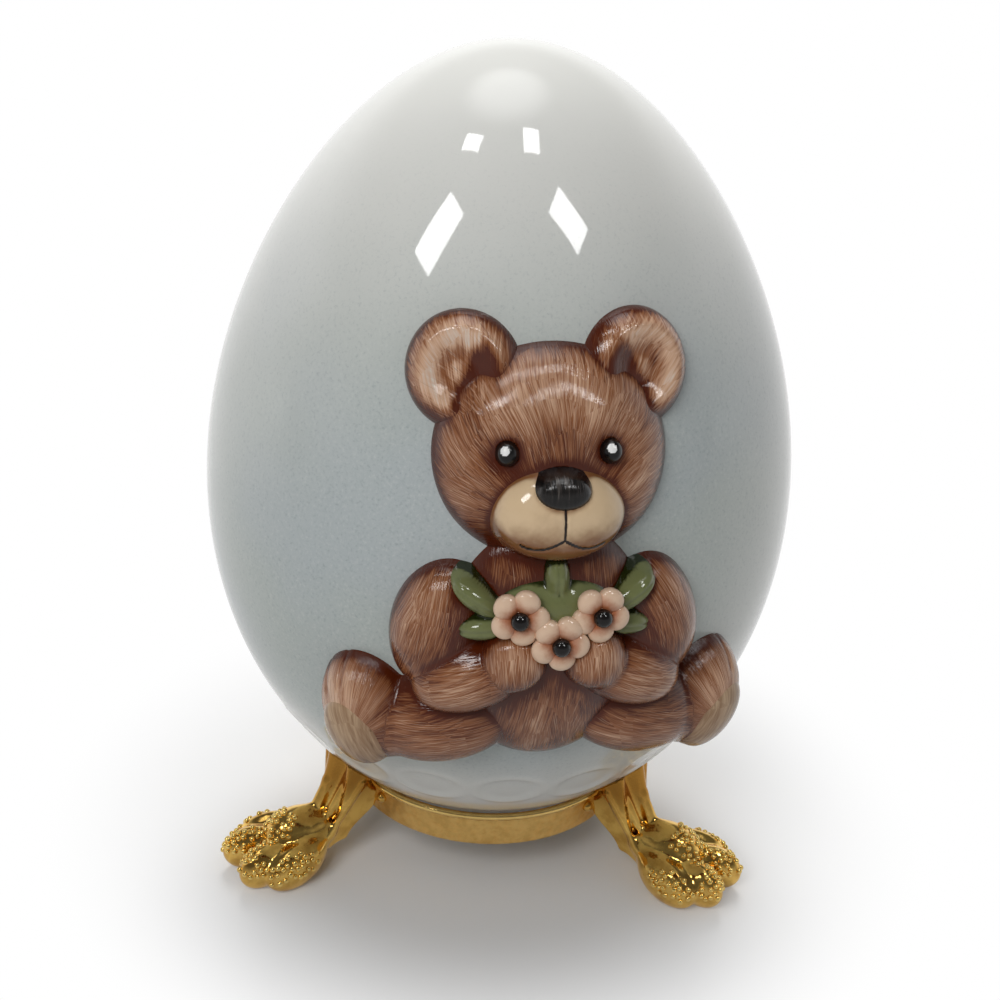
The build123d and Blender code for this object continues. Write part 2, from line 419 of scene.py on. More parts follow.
@dataclass(frozen=True)
class BrushedGlaze:
    """Brown underglaze laid on in fine hair strokes under clear gloss, darker where glaze pools in
    the creases and where shade is painted, lighter where light is painted.
    """

    name: str = "brushed_brown_glaze"
    deep: Colour = colour(82, 30, 8)
    middle: Colour = colour(146, 92, 58)
    light: Colour = colour(216, 176, 146)
    bare: Colour = colour(228, 216, 204)
    hair_share: float = 0.5
    dark_share: float = 0.5
    stroke_width: float = 0.10
    stroke_length: float = 3.2
    patch: float = 4.6
    patch_shift: float = 40.0
    wander: float = 0.45
    coats: tuple[float, ...] = (3.1, 11.7, 23.9)
    coat_shift: float = 1.7
    form_shift: float = 5.3
    load_scale: Place = (0.22, 0.45, 3.1)
    broad_scale: Place = (0.10, 0.16, 1.7)
    wash_middle: float = 0.53
    wash_shares: Pair = (2.4, 1.6)
    # how strongly glaze pools and painted shade darken the tone, streaked and even
    pool_and_shade_shares: Pair = (1.6, 0.3)
    stroke_contrast: float = 3.2
    tone_ranges: tuple[Pair, ...] = ((-1.05, 0.15), (0.05, 1.35), (1.00, 2.10))
    hair_contrast: float = 5.0
    hair_lit: float = 0.7
    hair_range: Pair = (-0.1, 1.1)
    gap_pool_and_shade: float = 0.4
    gap_range: Pair = (0.05, 1.1)
    depth: float = 0.00006
    relief: float = 0.6
    refraction: float = 1.5
    roughness: float = 0.11

    def strokes(self, g: Graph, seed: float) -> Wire:
        """One coat of short strokes. Each patch of the coat runs its own way.

        Args:
            g: the material being built.
            seed: a number of the coat's own.

        Returns:
            The load of glaze, about 0.5 on average.
        """
        run = g.wires("Attribute", {"attribute_name": "stroke"})["Vector"]
        along = g.vector("ADD", run, (seed, seed * self.coat_shift, 0))
        patch = g.wires("TexVoronoi", {"voronoi_dimensions": "3D"}, Vector=along,
                        Scale=1 / self.patch, Randomness=1.0)
        chance = g.wires("SeparateColor", Color=patch["Color"])
        turn = g.wire("VectorRotate", {"rotation_type": "Z_AXIS"}, Vector=along,
                      Center=patch["Position"], Angle=(chance["Red"] - 0.5) * self.wander)
        fine = g.vector("MULTIPLY", turn, (1 / self.stroke_length, 1 / self.stroke_width,
                                           self.form_shift))
        apart = g.wire("CombineXYZ", X=chance["Green"] * self.patch_shift,
                       Y=chance["Blue"] * self.patch_shift, Z=seed)
        return g.noise(g.vector("ADD", fine, apart), 1.0, 2.0, 0.55)

    def material(self) -> bpy.types.Material:
        """Builds the glaze. It reads where a stroke runs, the glaze pools with the painted shade,
        and the painted light.

        Returns:
            The glaze.
        """
        g = Graph(self.name)
        under, over, third = (self.strokes(g, seed) for seed in self.coats)
        run = g.wires("Attribute", {"attribute_name": "stroke"})["Vector"]
        # the first attribute holds glaze pools with painted shade, the second holds painted light
        pool_and_shade, lit = g.attribute("pool_and_shade"), g.attribute("lit")
        load = g.noise(g.vector("MULTIPLY", run, self.load_scale), 1.0, 3.0)
        broad = g.noise(g.vector("MULTIPLY", run, self.broad_scale), 1.0, 1.0)
        load_share, broad_share = self.wash_shares
        wash = (load - self.wash_middle) * load_share + (broad - self.wash_middle) * broad_share
        streaked_share, pooled_and_shaded = self.pool_and_shade_shares
        tone = (under - 0.5) * self.stroke_contrast + wash + lit - pool_and_shade * (third * streaked_share + pooled_and_shaded)
        # the tone runs from deep to bare clay: painted light lifts it, glaze pools and painted
        # shade lower it
        base = self.deep
        for edges, tint in zip(self.tone_ranges, (self.middle, self.light, self.bare)):
            base = g.mix(g.ramp(tone, *edges), base, tint)
        hairs = (over - 0.5) * self.hair_contrast + (lit * self.hair_lit - pool_and_shade)
        base = g.mix(g.ramp(hairs, *self.hair_range) * self.hair_share, base, self.light)
        gaps = (0.5 - third) * self.hair_contrast + (pool_and_shade - lit) * self.gap_pool_and_shade
        base = g.mix(g.ramp(gaps, *self.gap_range) * self.dark_share, base, self.deep)
        return g.surface(Base_Color=base, Roughness=self.roughness, IOR=self.refraction,
                         Normal=g.bump(over, self.depth, self.relief))


@dataclass(frozen=True)
class PlainGlaze:
    """A glaze of one colour, darker where glaze pools and where shade is painted, with marks of
    another painted on it.
    """

    name: str
    body: Colour
    # the colour where glaze pools and where shade is painted
    pooled_and_shaded: Colour
    marks: Colour = colour(36, 24, 18)
    mottle: float = 0.35
    grain: float = 900.0
    mark_grain: float = 2500.0
    roughness: float = 0.08
    mark_wander: float = 0.35
    mark_range: Pair = (0.3, 0.7)
    depth: float = 0.00003
    refraction: float = 1.5

    def material(self) -> bpy.types.Material:
        """Builds the glaze. It reads the glaze pools with the painted shade, and where it is
        marked.

        Returns:
            The glaze.
        """
        g = Graph(self.name)
        place = g.object_place()
        cloud = g.noise(place, self.grain, 3.0, 0.6)
        amount = g.attribute("pool_and_shade") + (cloud - 0.5) * self.mottle
        base = g.mix(g.ramp(amount, 0.0, 1.0), self.body, self.pooled_and_shaded)
        uneven = g.attribute("mark") + (g.noise(place, self.mark_grain) - 0.5) * self.mark_wander
        base = g.mix(g.ramp(uneven, *self.mark_range), base, self.marks)
        return g.surface(Base_Color=base, Roughness=self.roughness, IOR=self.refraction,
                         Normal=g.bump(cloud, self.depth))


@dataclass(frozen=True)
class CastBrass:
    """Gold-toned cast brass: how bright it is polished, and how its skin wanders."""

    name: str
    body: Colour = colour(240, 198, 108)
    dull: Colour = colour(156, 100, 30)
    roughness: float = 0.11
    mottle: float = 0.5
    grain: float = 1100.0
    depth: float = 0.00003
    amber: float = 0.0
    amber_heights: Pair = (0.006, 0.011)
    cloud_share: float = 0.45
    cloud_range: Pair = (0.35, 0.7)
    skin_range: Pair = (0.3, 0.75)
    rough_shares: Pair = (0.7, 1.6)

    def material(self) -> bpy.types.Material:
        """Builds the metal. Its amber share deepens it towards the top of the stand.

        Returns:
            The metal.
        """
        g = Graph(self.name)
        place = g.object_place()
        cloud = g.noise(place, self.grain * self.cloud_share, 4.0, 0.6)
        skin = g.noise(place, self.grain, 3.0, 0.6)
        height = g.wires("SeparateXYZ", Vector=place)["Z"]
        deep = g.ramp(height, *self.amber_heights) * self.amber
        worn = g.ramp(cloud, *self.cloud_range) * self.mottle
        base = g.mix(g.math("MAXIMUM", worn, deep), self.body, self.dull)
        rough = g.ramp(skin, *self.skin_range, *(self.roughness * s for s in self.rough_shares))
        return g.surface(Base_Color=base, Metallic=1.0, Roughness=rough,
                         Normal=g.bump(skin, self.depth))


@dataclass(frozen=True)
class EggForm:
    """The egg's outline, by the same rule as the casting."""

    height: float = 85.7
    radius: float = 31.3
    taper_share: float = 0.112
    full_share: float = 0.047
    lift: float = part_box("egg_shell")[0][2] / MM

    def radius_at(self, height: Points) -> Points:
        """Outer radius at a height above the egg's bottom.

        Args:
            height: heights above the bottom.

        Returns:
            The radius at each.
        """
        s = 2 * np.asarray(height, float) / self.height - 1
        bulge = 1 - self.taper_share * s - self.full_share * s * s
        return self.radius * np.sqrt(np.clip(1 - s * s, 0, None)) * bulge

    def lean_at(self, height: Points) -> Points:
        """How far the normal rises for its reach at a height."""
        step = self.height / 1000
        return (self.radius_at(height - step) - self.radius_at(height + step)) / (2 * step)

    def place(self, turn: Points, height: Points) -> tuple[Points, Points]:
        """Places on the egg and the directions out of it.

        Args:
            turn: angle from the front towards +X, in radians.
            height: height above the egg's bottom.

        Returns:
            Places in the frame of the part, and unit normals.
        """
        turn, height = np.broadcast_arrays(np.asarray(turn, float), np.asarray(height, float))
        out = np.stack([np.sin(turn), -np.cos(turn), np.zeros_like(turn)], -1)
        spot = out * self.radius_at(height)[..., None]
        spot[..., 2] = height + self.lift
        normal = out.copy()
        normal[..., 2] = self.lean_at(height)
        return spot, normal / np.linalg.norm(normal, axis=-1, keepdims=True)


EGG = EggForm()


@dataclass
class EggCasting:
    """The hollow egg with its vent, and the scalloped border pressed in round its foot."""

    form: EggForm = EGG
    wall: float = 3.0
    vent_radius: float = 1.5
    steps: int = 288
    rows: int = 290
    inner_rows: int = 40
    scallops: int = 18
    scallop_height: float = 13.2
    scallop_reach: float = 3.7
    scallop_turn: float = math.radians(6)
    scallop_depth: float = 0.16
    rim_height: float = 0.10
    rim_share: float = 0.89
    rim_width_share: float = 0.11
    dish_share: float = 0.35
    spray_turn: float = math.radians(8)
    swing: float = 3.4
    swing_heights: Pair = (58, 22)
    fade_heights: Pair = (50, 86)
    foot_heights: Pair = (11, 24)
    foot_share: float = 0.12
    fade_turns: Pair = (math.radians(14), math.radians(105))
    side_loss: float = 0.70
    rim_loss: float = 0.55

    def clear_of_vent(self, radius: Points, height: Points) -> Points:
        """The rows of a section, as radius and height, that lie outside the vent."""
        keep = (radius > self.vent_radius) | (height > self.form.height / 2)
        return np.stack([radius[keep], height[keep]], -1)

    def profile(self) -> Points:
        """The casting's section from the top pole, down outside and up inside.

        Returns:
            Rows of radius and height.
        """
        middle, whole = self.form.height / 2, self.form.height
        height = middle * (1 - np.cos(np.linspace(math.pi, 0, self.rows)))
        outside = self.clear_of_vent(self.form.radius_at(height), height)
        rise = (middle - self.wall) * (1 - np.cos(np.linspace(0, math.pi, self.inner_rows)))
        share = (self.form.radius - self.wall) / self.form.radius
        radius = self.form.radius_at(rise * whole / (whole - 2 * self.wall)) * share
        inside = self.clear_of_vent(radius, self.wall + rise)
        outside[0, 0] = inside[-1, 0] = 0
        lip = [[self.vent_radius, outside[-1, 1]], [self.vent_radius, inside[0, 1]]]
        return np.vstack([outside, lip, inside])

    def border(self, turn: Points, height: Points) -> tuple[Points, Points]:
        """The border of dished ovals round the foot.

        Args:
            turn: angles from the front, in radians.
            height: heights above the egg's bottom.

        Returns:
            How far the surface stands out there, and how much of a rim it is.
        """
        width = 2 * math.pi / self.scallops
        radius = float(self.form.radius_at(self.scallop_height))
        across = ((turn - self.scallop_turn + width / 2) % width - width / 2) * radius
        lean = float(np.hypot(1, self.form.lean_at(self.scallop_height)))
        up = (height - self.scallop_height) * lean
        away = np.hypot(across / (width * radius / 2), up / self.scallop_reach)
        rim = np.exp(-((away - self.rim_share) / self.rim_width_share) ** 2)
        dish = 1 - smooth_step(self.rim_share - self.dish_share, self.rim_share, away)
        return self.rim_height * rim - self.scallop_depth * dish, rim

    def spray(self, turn: Points, height: Points) -> Points:
        """How much blue-grey was sprayed at each turn and height: most on the front's middle.

        Args:
            turn: angles from the front, in radians.
            height: heights above the egg's bottom.

        Returns:
            The share of full cover.
        """
        drift = self.spray_turn * (1 - self.swing * smooth_step(*self.swing_heights, height))
        aside = np.abs((turn - drift + math.pi) % (2 * math.pi) - math.pi)
        foot = self.foot_share + (1 - self.foot_share) * smooth_step(*self.foot_heights, height)
        upright = (1 - smooth_step(*self.fade_heights, height)) * foot
        return upright * (1 - self.side_loss * smooth_step(*self.fade_turns, aside))

    def build(self) -> list[bpy.types.Object]:
        """Builds the casting.

        Returns:
            The one piece, riding with the egg.
        """
        profile = self.profile()
        points, faces, marks = spun(profile, self.steps)
        height = points[:, 2].copy()
        outside = marks[:, 1] < int(np.argmax(np.diff(profile[:, 1]) >= 0)) - 1
        raised, rim = self.border(marks[:, 0], height)
        _, normals = self.form.place(marks[:, 0], height)
        points[:, 2] += self.form.lift
        points += normals * np.where(outside, raised, 0)[:, None]
        spray = self.spray(marks[:, 0], height) * (1 - self.rim_loss * rim)
        shell = new_object("egg_casting", points, faces, {"spray": spray})
        shell.data.materials.append(CastingGlaze().material())
        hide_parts("egg_shell")
        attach(shell, "egg")
        return [shell]


class Hair(Enum):
    """Where the brush strokes run from."""

    ALONG = "along the form's longer way"
    ACROSS = "across the form's longer way"
    FACE = "out from the muzzle"
    SOLE = "out from the sole"


@dataclass(frozen=True)
class Form:
    """One rounded form of the relief, in shares of the bear's height."""

    across: float
    up: float
    half_width: float
    half_height: float
    half_depth: float
    rise: float
    turn: float = 0.0
    hair: Hair = Hair.ALONG

    def mirrored(self) -> "Form":
        """The same form on the other side."""
        return replace(self, across=-self.across, turn=-self.turn)


@dataclass(frozen=True)
class Swell:
    """A soft swelling, or a hollow where it falls, placed in shares of the bear's height.

    Its rise is in millimetres.
    """

    across: float
    up: float
    width: float
    rise: float


@dataclass
class ReliefGrid:
    """A fine net of places over the egg's front, from which every form's height is measured."""

    form: EggForm = EGG
    bear_height: float = 48.0
    bear_base: float = 19.3
    bear_turn: float = math.radians(10.0)
    pitch: float = 0.15
    half_width: float = 27.0
    low: float = -2.5
    high: float = 53.0
    edge_share: float = 0.965
    face_up: float = 0.60
    fan_reach: float = 9.0

    def __post_init__(self) -> None:
        """Lays out the net."""
        self.U, self.V = np.meshgrid(np.arange(-self.half_width, self.half_width, self.pitch),
                                     np.arange(self.low, self.high, self.pitch))
        self.spot, self.normal = self.place(self.U, self.V)

    def place(self, across: Points, up: Points) -> tuple[Points, Points]:
        """Places on the egg, and the ways out of it, from millimetres round the bear's foot."""
        turn = self.bear_turn + across / self.form.radius
        return self.form.place(turn, self.bear_base + up)

    def axes(self, form: Form) -> tuple[Points, Points, Points]:
        """A form's centre, its three directions as rows, and its half sizes.

        Args:
            form: the form.

        Returns:
            The centre, the directions and the half sizes.
        """
        across, up = form.across * self.bear_height, form.up * self.bear_height
        halves = np.array([form.half_width, form.half_height, form.half_depth]) * self.bear_height
        turn = self.bear_turn + across / self.form.radius
        spot, normal = self.place(across, up)
        side = np.array([math.cos(turn), math.sin(turn), 0])
        rows = np.stack([*rotated(side, np.cross(normal, side), -form.turn), normal])
        return spot + normal * (form.rise * self.bear_height - halves[2]), rows, halves

    def height(self, form: Form) -> Points:
        """How far a form stands off the egg, looking straight out of the egg.

        Args:
            form: the form.

        Returns:
            The height over the whole net. It keeps falling beyond the form's edge.
        """
        centre, rows, halves = self.axes(form)
        start = (self.spot - centre) @ rows.T / halves
        way = self.normal @ rows.T / halves
        speed = (way * way).sum(-1)
        nearest = -(start * way).sum(-1) / speed
        away = np.sqrt(np.clip((start * start).sum(-1) - nearest * nearest * speed, 0, None))
        edge = self.edge_share
        drop = math.sqrt(1 - edge * edge)
        dome = np.where(away < edge, np.sqrt(np.clip(1 - away * away, 0, None)),
                        drop - (away - edge) * edge / drop)
        return nearest + dome / np.sqrt(speed)

    def local(self, form: Form) -> tuple[Points, Points]:
        """Distances across and up from a form's middle, in millimetres.

        Args:
            form: the form.

        Returns:
            Both distances, over the net.
        """
        centre, rows, _ = self.axes(form)
        way = (self.spot - centre) @ rows.T
        return way[..., 0], way[..., 1]

    def shares(self, form: Form) -> tuple[Points, Points]:
        """Distances across and up from a form's middle, in shares of its half sizes."""
        x, y = self.local(form)
        return x / (form.half_width * self.bear_height), y / (form.half_height * self.bear_height)

    def strokes(self, form: Form, number: int) -> Points:
        """Where a brush stroke runs: along it, across it, and which form it is on.

        Args:
            form: the form.
            number: its number in its node.

        Returns:
            The three values, over the net.
        """
        if form.hair in (Hair.FACE, Hair.SOLE):
            middle = (0.0, self.face_up) if form.hair is Hair.FACE else (form.across, form.up)
            x = self.U - middle[0] * self.bear_height
            y = self.V - middle[1] * self.bear_height
            x, y = np.hypot(x, y), np.arctan2(x, y) * self.fan_reach
        else:
            x, y = self.local(form)
            if (form.half_height >= form.half_width) is (form.hair is Hair.ALONG):
                x, y = y, x
        return np.stack([x, y, np.full_like(x, number)], -1)

    def blurred(self, heights: Points, width: float) -> Points:
        """Heights smoothed over a width in millimetres.

        Args:
            heights: heights over the net.
            width: how far they spread.

        Returns:
            The smoothed heights.
        """
        reach = int(math.ceil(3 * width / self.pitch))
        kernel = np.exp(-0.5 * (np.arange(-reach, reach + 1) * self.pitch / width) ** 2)
        kernel /= kernel.sum()
        made = np.pad(heights, reach, mode="edge")
        for axis in (1, 0):
            made = np.apply_along_axis(np.convolve, axis, made, kernel, "valid")
        return made

    def swell(self, bump: Swell, side: int = 1) -> Points:
        """A swelling's height over the net, on its own side or mirrored by a side of -1.

        Args:
            bump: the swelling.
            side: 1, or -1 for its mirror image.

        Returns:
            The height in millimetres.
        """
        x = self.U / self.bear_height - side * bump.across
        y = self.V / self.bear_height - bump.up
        return bump.rise * np.exp(-(x * x + y * y) / (2 * bump.width * bump.width))


@dataclass
class Sculpt:
    """One node's surface over the net, with what its glaze needs to know."""

    node: str
    height: Points
    strokes: Points
    # shade: painted shade, added to the glaze pools
    shade: Points | float = 0.0
    # inner: painted light, on the brow and inside the ears' dishes
    inner: Points | float = 0.0
    mark: Points | float = 0.0


@dataclass
class BearRelief:
    """The seated bear, sculpted form by form over the egg, and the leaves it holds."""

    grid: ReliefGrid = field(default_factory=ReliefGrid)
    sink: float = 0.9
    rim_slack: float = 0.1
    tuck: float = 0.6
    head: Form = Form(0.000, 0.730, 0.236, 0.228, 0.150, 0.086, hair=Hair.FACE)
    muzzle: Form = Form(0.000, 0.630, 0.128, 0.094, 0.074, 0.132)
    nose: Form = Form(0.000, 0.676, 0.052, 0.035, 0.030, 0.146, hair=Hair.ACROSS)
    eye: Form = Form(0.098, 0.738, 0.0215, 0.0235, 0.022, 0.096)
    ear: Form = Form(0.205, 0.876, 0.118, 0.124, 0.090, 0.062, -20, Hair.FACE)
    dish: Form = Form(0.205, 0.872, 0.074, 0.080, 0.052, 0.142, -20)
    torso: Form = Form(0.000, 0.318, 0.216, 0.290, 0.155, 0.084)
    arm: tuple[Form, ...] = (
        Form(0.215, 0.365, 0.105, 0.150, 0.105, 0.090, 14),
        Form(0.146, 0.290, 0.130, 0.076, 0.085, 0.124, -24),
        Form(0.070, 0.345, 0.066, 0.070, 0.070, 0.138),
    )
    leg: tuple[Form, ...] = (
        Form(0.225, 0.136, 0.175, 0.110, 0.120, 0.098, -15),
        Form(0.372, 0.134, 0.108, 0.134, 0.125, 0.108, -16, Hair.SOLE),
    )
    sole: Form = Form(0.376, 0.122, 0.070, 0.092, 0.044, 0.114, -16)
    pairs: tuple[str, ...] = ("bear_eyes", "bear_ears", "bear_soles")
    leaves: tuple[Form, ...] = (
        Form(0.000, 0.425, 0.128, 0.090, 0.080, 0.104),
        Form(0.000, 0.500, 0.026, 0.050, 0.036, 0.092),
        Form(0.140, 0.460, 0.058, 0.026, 0.036, 0.092, 32),
        Form(0.128, 0.405, 0.056, 0.026, 0.036, 0.096, -8),
    )
    face_swells: tuple[Swell, ...] = (
        Swell(0.098, 0.738, 0.034, -0.75), Swell(0.088, 0.802, 0.040, 0.45),
        Swell(0.150, 0.640, 0.046, 0.55))
    bridge: Swell = Swell(0.0, 0.760, 0.040, -0.35)
    # a painted highlight on the brow
    brow_highlight: Swell = Swell(0.0, 0.835, 0.075, 0.35)
    lip: Swell = Swell(0.058, 0.618, 0.036, 0.30)
    muzzle_low: Pair = (1.5, -4.5)
    muzzle_rim: Pair = (0.72, 0.98)
    muzzle_shades: Pair = (0.7, 0.35)
    glint: Pair = (-0.22, 0.34)
    glint_edges: Pair = (0.34, 0.44)
    mouth_up: float = 0.596
    mouth_corner: float = 0.074
    mouth_drop: float = 0.020
    mouth_bend: float = math.pi * 0.80
    mouth_width: float = 0.0024
    mouth_edges: Pair = (0.6, 1.7)
    mouth_depth: float = 0.16
    dish_depth: float = 1.9
    dish_slope: Pair = (0.30, 1.10)
    dish_edge: Pair = (0.80, 1.15)
    dish_shadow: Pair = (-0.10, 0.55)
    dish_lean: float = 0.8
    ear_rim: Pair = (1.10, 1.45)
    ear_shades: Pair = (1.5, 0.35)
    toe_reach: Pair = (0.58, 0.72)
    toe_depth: float = 0.32
    toe_width: float = 0.045
    toe_turns: tuple[Pair, ...] = ((125, 95), (55, 85))
    vein_depth: float = 0.22
    vein_width: float = 0.16
    vein_share: float = 0.85
    vein_slack: float = 0.05
    # painted shade on the torso and limbs
    torso_shade: float = 0.15
    arm_shade: float = 0.42
    leg_shade: float = 0.32
    arm_flow: float = 1.1
    leg_flow: float = 1.3
    leaf_flow: float = 0.35
    # Painted shade in creases and hollows, where glaze also pools, and on slopes facing down;
    # painted light on raised forms and on slopes facing up.
    crease_widths: Pair = (0.6, 2.2)
    slope_width: float = 0.5
    crease_pool_and_shade: Pair = (3.2, 1.4)
    broad_pool_and_shade: Pair = (0.42, 0.8)
    underside_shade: float = 0.6
    broad_light: Pair = (0.8, 0.9)
    top_light: float = 0.25
    edge_heights: Pair = (1.8, 0.2)
    edge_pool_and_shade: float = 0.85
    # how much the brow's painted highlight and the pale dishes add to the painted light
    painted_inner_light: float = 1.1
    most_light: float = 1.9

    def gathered(self, node: str, forms: Sequence[Form], flow: float = 0.5) -> Sculpt:
        """Several forms run together into one surface.

        Args:
            node: the solid that the surface stands for.
            forms: its forms.
            flow: how softly they run together, in millimetres.

        Returns:
            The surface with the strokes of whichever form is on top.
        """
        height = self.grid.height(forms[0])
        strokes = self.grid.strokes(forms[0], 1)
        for number, form in enumerate(forms[1:], 2):
            other = self.grid.height(form)
            on_top = (other > height)[..., None]
            strokes = np.where(on_top, self.grid.strokes(form, number), strokes)
            height = blend_max(height, other, flow)
        return Sculpt(node, height, strokes)

    def paired(self, node: str, form: Form) -> list[tuple[Sculpt, Form]]:
        """A form's two surfaces with their forms, the one on -X first."""
        return [(self.gathered(node, [f]), f) for f in (form.mirrored(), form)]

    def limbs(self, node: str, forms: Sequence[Form], flow: float, shade: float) -> list[Sculpt]:
        """The two surfaces of a limb.

        Args:
            node: what the nodes of both sides start with.
            forms: the forms of the limb on +X.
            flow: how softly they run together, in millimetres.
            shade: how much painted shade darkens the limb.

        Returns:
            The left limb and the right one.
        """
        pair = [self.gathered(node + "_left", [f.mirrored() for f in forms], flow),
                self.gathered(node + "_right", forms, flow)]
        for limb in pair:
            limb.shade = shade
        return pair

    def carved_head(self) -> Sculpt:
        """The head with its brow, cheeks and the hollows that the eyes lie in.

        Returns:
            The head's surface.
        """
        head = self.gathered("bear_head", [self.head])
        for side in (-1, 1):
            for swell in self.face_swells:
                head.height = head.height + self.grid.swell(swell, side)
        head.height = head.height + self.grid.swell(self.bridge)
        # painted light on the brow
        head.inner = self.grid.swell(self.brow_highlight)
        return head

    def smiling_muzzle(self) -> Sculpt:
        """The muzzle with the line under the nose and the mouth's two curves pressed in.

        Returns:
            The muzzle's surface.
        """
        g = self.grid
        muzzle = self.gathered("bear_muzzle", [self.muzzle])
        across, up = g.shares(self.muzzle)
        # painted shade: the muzzle darker on its lower half and round its rim
        low = smooth_step(*self.muzzle_low, g.local(self.muzzle)[1])
        rim = smooth_step(*self.muzzle_rim, np.hypot(across, up))
        muzzle.shade = self.muzzle_shades[0] * low + self.muzzle_shades[1] * rim
        x, y = np.abs(g.U / g.bear_height), g.V / g.bear_height
        middle = np.where((y < self.nose.up) & (y > self.mouth_up), x, 1.0)
        share = x / self.mouth_corner
        curve = self.mouth_up - self.mouth_drop * np.sin(np.clip(share, 0, 1) * self.mouth_bend)
        steep = self.mouth_drop * self.mouth_bend / self.mouth_corner
        slope = np.hypot(1, steep * np.cos(share * self.mouth_bend))
        away = np.minimum(middle, np.where(share < 1, np.abs(y - curve) / slope, 1.0))
        muzzle.mark = 1 - smooth_step(*(s * self.mouth_width for s in self.mouth_edges), away)
        muzzle.height = muzzle.height - self.mouth_depth * np.exp(-(away / self.mouth_width) ** 2)
        for side in (-1, 1):
            muzzle.height = muzzle.height + g.swell(self.lip, side)
        return muzzle

    def glinting_eyes(self) -> list[Sculpt]:
        """The eyes, each with its painted white dot.

        Returns:
            The eyes' surfaces.
        """
        eyes = self.paired("bear_eyes", self.eye)
        for eye, form in eyes:
            x, y = self.grid.local(form)
            away = np.hypot(x - self.glint[0], y - self.glint[1])
            eye.mark = 1 - smooth_step(*self.glint_edges, away)
        return [eye for eye, _ in eyes]

    def dished_ears(self) -> list[Sculpt]:
        """The ears, hollowed, with painted shade towards the head, and lighter inside the dish:
        partly the inner ear's paler paint, partly painted light.

        Returns:
            The ears' surfaces.
        """
        g = self.grid
        ears = []
        for (ear, _), dish in zip(self.paired("bear_ears", self.ear),
                                  (self.dish.mirrored(), self.dish)):
            x, y = g.local(dish)
            inner = np.hypot(*g.shares(dish))
            ear.height = ear.height - self.dish_depth * (1 - smooth_step(*self.dish_slope, inner))
            inwards = -math.copysign(1, dish.across) * x
            toward = (inwards - self.dish_lean * y) / (dish.half_width * g.bear_height)
            within = 1 - smooth_step(*self.dish_edge, inner)
            shade = smooth_step(*self.dish_shadow, toward)
            ear.inner = within * (1 - shade)
            ear.shade = (self.ear_shades[0] * within * shade
                         + self.ear_shades[1] * smooth_step(*self.ear_rim, inner))
            ears.append(ear)
        return ears

    def toed(self, leg: Sculpt, foot: Form, lines: Sequence[float]) -> None:
        """Presses short toe lines into the outer edge of a foot.

        Args:
            leg: the surface that has the foot.
            foot: the foot.
            lines: where the lines lie, as angles round the foot in degrees.
        """
        for line in lines:
            along, aside = rotated(*self.grid.shares(foot), -line)
            press = smooth_step(*self.toe_reach, along) * np.exp(-(aside / self.toe_width) ** 2)
            leg.height = leg.height - self.toe_depth * press * (leg.height > -self.sink)

    def veined_leaves(self) -> Sculpt:
        """The leaves, with a middle vein pressed into each but the bed they lie on.

        Returns:
            The leaves' surface.
        """
        bed, stalk, *sides = self.leaves
        forms = [bed, stalk, *(f for leaf in sides for f in (leaf, leaf.mirrored()))]
        leaves = self.gathered("posy_leaves", forms, self.leaf_flow)
        for form in forms[1:]:
            x, y = self.grid.local(form)
            if form.half_height > form.half_width:
                x, y = y, x
            reach = max(form.half_width, form.half_height) * self.grid.bear_height
            on = ((np.abs(x) < reach * self.vein_share)
                  & (self.grid.height(form) > leaves.height - self.vein_slack))
            vein = self.vein_depth * np.exp(-(y / self.vein_width) ** 2)
            leaves.height = leaves.height - np.where(on, vein, 0)
        return leaves

    def sculpts(self) -> list[Sculpt]:
        """Every surface of the relief but the blossoms and their seeds.

        Returns:
            The surfaces, one or two for each node.
        """
        torso = self.gathered("bear_torso", [self.torso])
        torso.shade = self.torso_shade
        legs = self.limbs("bear_leg", self.leg, self.leg_flow, self.leg_shade)
        feet = (self.leg[1].mirrored(), self.leg[1])
        for leg, foot, turns in zip(legs, feet, self.toe_turns):
            self.toed(leg, foot, turns)
        return [self.carved_head(), self.smiling_muzzle(), self.gathered("bear_nose", [self.nose]),
                *self.glinting_eyes(), *self.dished_ears(), torso,
                *self.limbs("bear_arm", self.arm, self.arm_flow, self.arm_shade), *legs,
                *(sole for sole, _ in self.paired("bear_soles", self.sole)),
                self.veined_leaves()]

    def piece(self, sculpt: Sculpt, name: str, others: Points,
              kept: dict[str, Points]) -> bpy.types.Object:
        """A closed mesh of one surface, tucked under its neighbours and sunk into the egg.

        Args:
            sculpt: the surface.
            name: the piece's name.
            others: the highest of the other surfaces over the net.
            kept: what the glaze reads, over the net.

        Returns:
            The new object.
        """
        g = self.grid
        keep = ((sculpt.height > -self.sink + self.rim_slack)
                & (sculpt.height > others - self.tuck))
        rows, cols = np.nonzero(keep[:-1, :-1] & keep[1:, :-1] & keep[:-1, 1:] & keep[1:, 1:])
        wide = g.U.shape[1]
        corner = rows * wide + cols
        faces = np.stack([corner, corner + 1, corner + wide + 1, corner + wide], -1)
        used = np.unique(faces)
        number = np.full(g.U.size, -1)
        number[used] = np.arange(len(used))
        faces = number[faces]
        spot, normal = g.spot.reshape(-1, 3)[used], g.normal.reshape(-1, 3)[used]
        top = spot + normal * sculpt.height.reshape(-1)[used, None]
        below = len(used)
        sides = np.concatenate([faces[:, [k, (k + 1) % 4]] for k in range(4)])
        key = sides.min(1) * below + sides.max(1)
        _, which, shared = np.unique(key, return_inverse=True, return_counts=True)
        rim = sides[shared[which] == 1]
        walls = np.stack([rim[:, 1], rim[:, 0], rim[:, 0] + below, rim[:, 1] + below], -1)
        points = np.vstack([top, spot - normal * self.sink])
        faces = np.vstack([faces, faces[:, ::-1] + below, walls])
        flat = {label: values.reshape(g.U.size, -1).squeeze()[used]
                for label, values in kept.items()}
        return new_object(name, points, faces,
                          {label: np.concatenate([v, v]) for label, v in flat.items()})

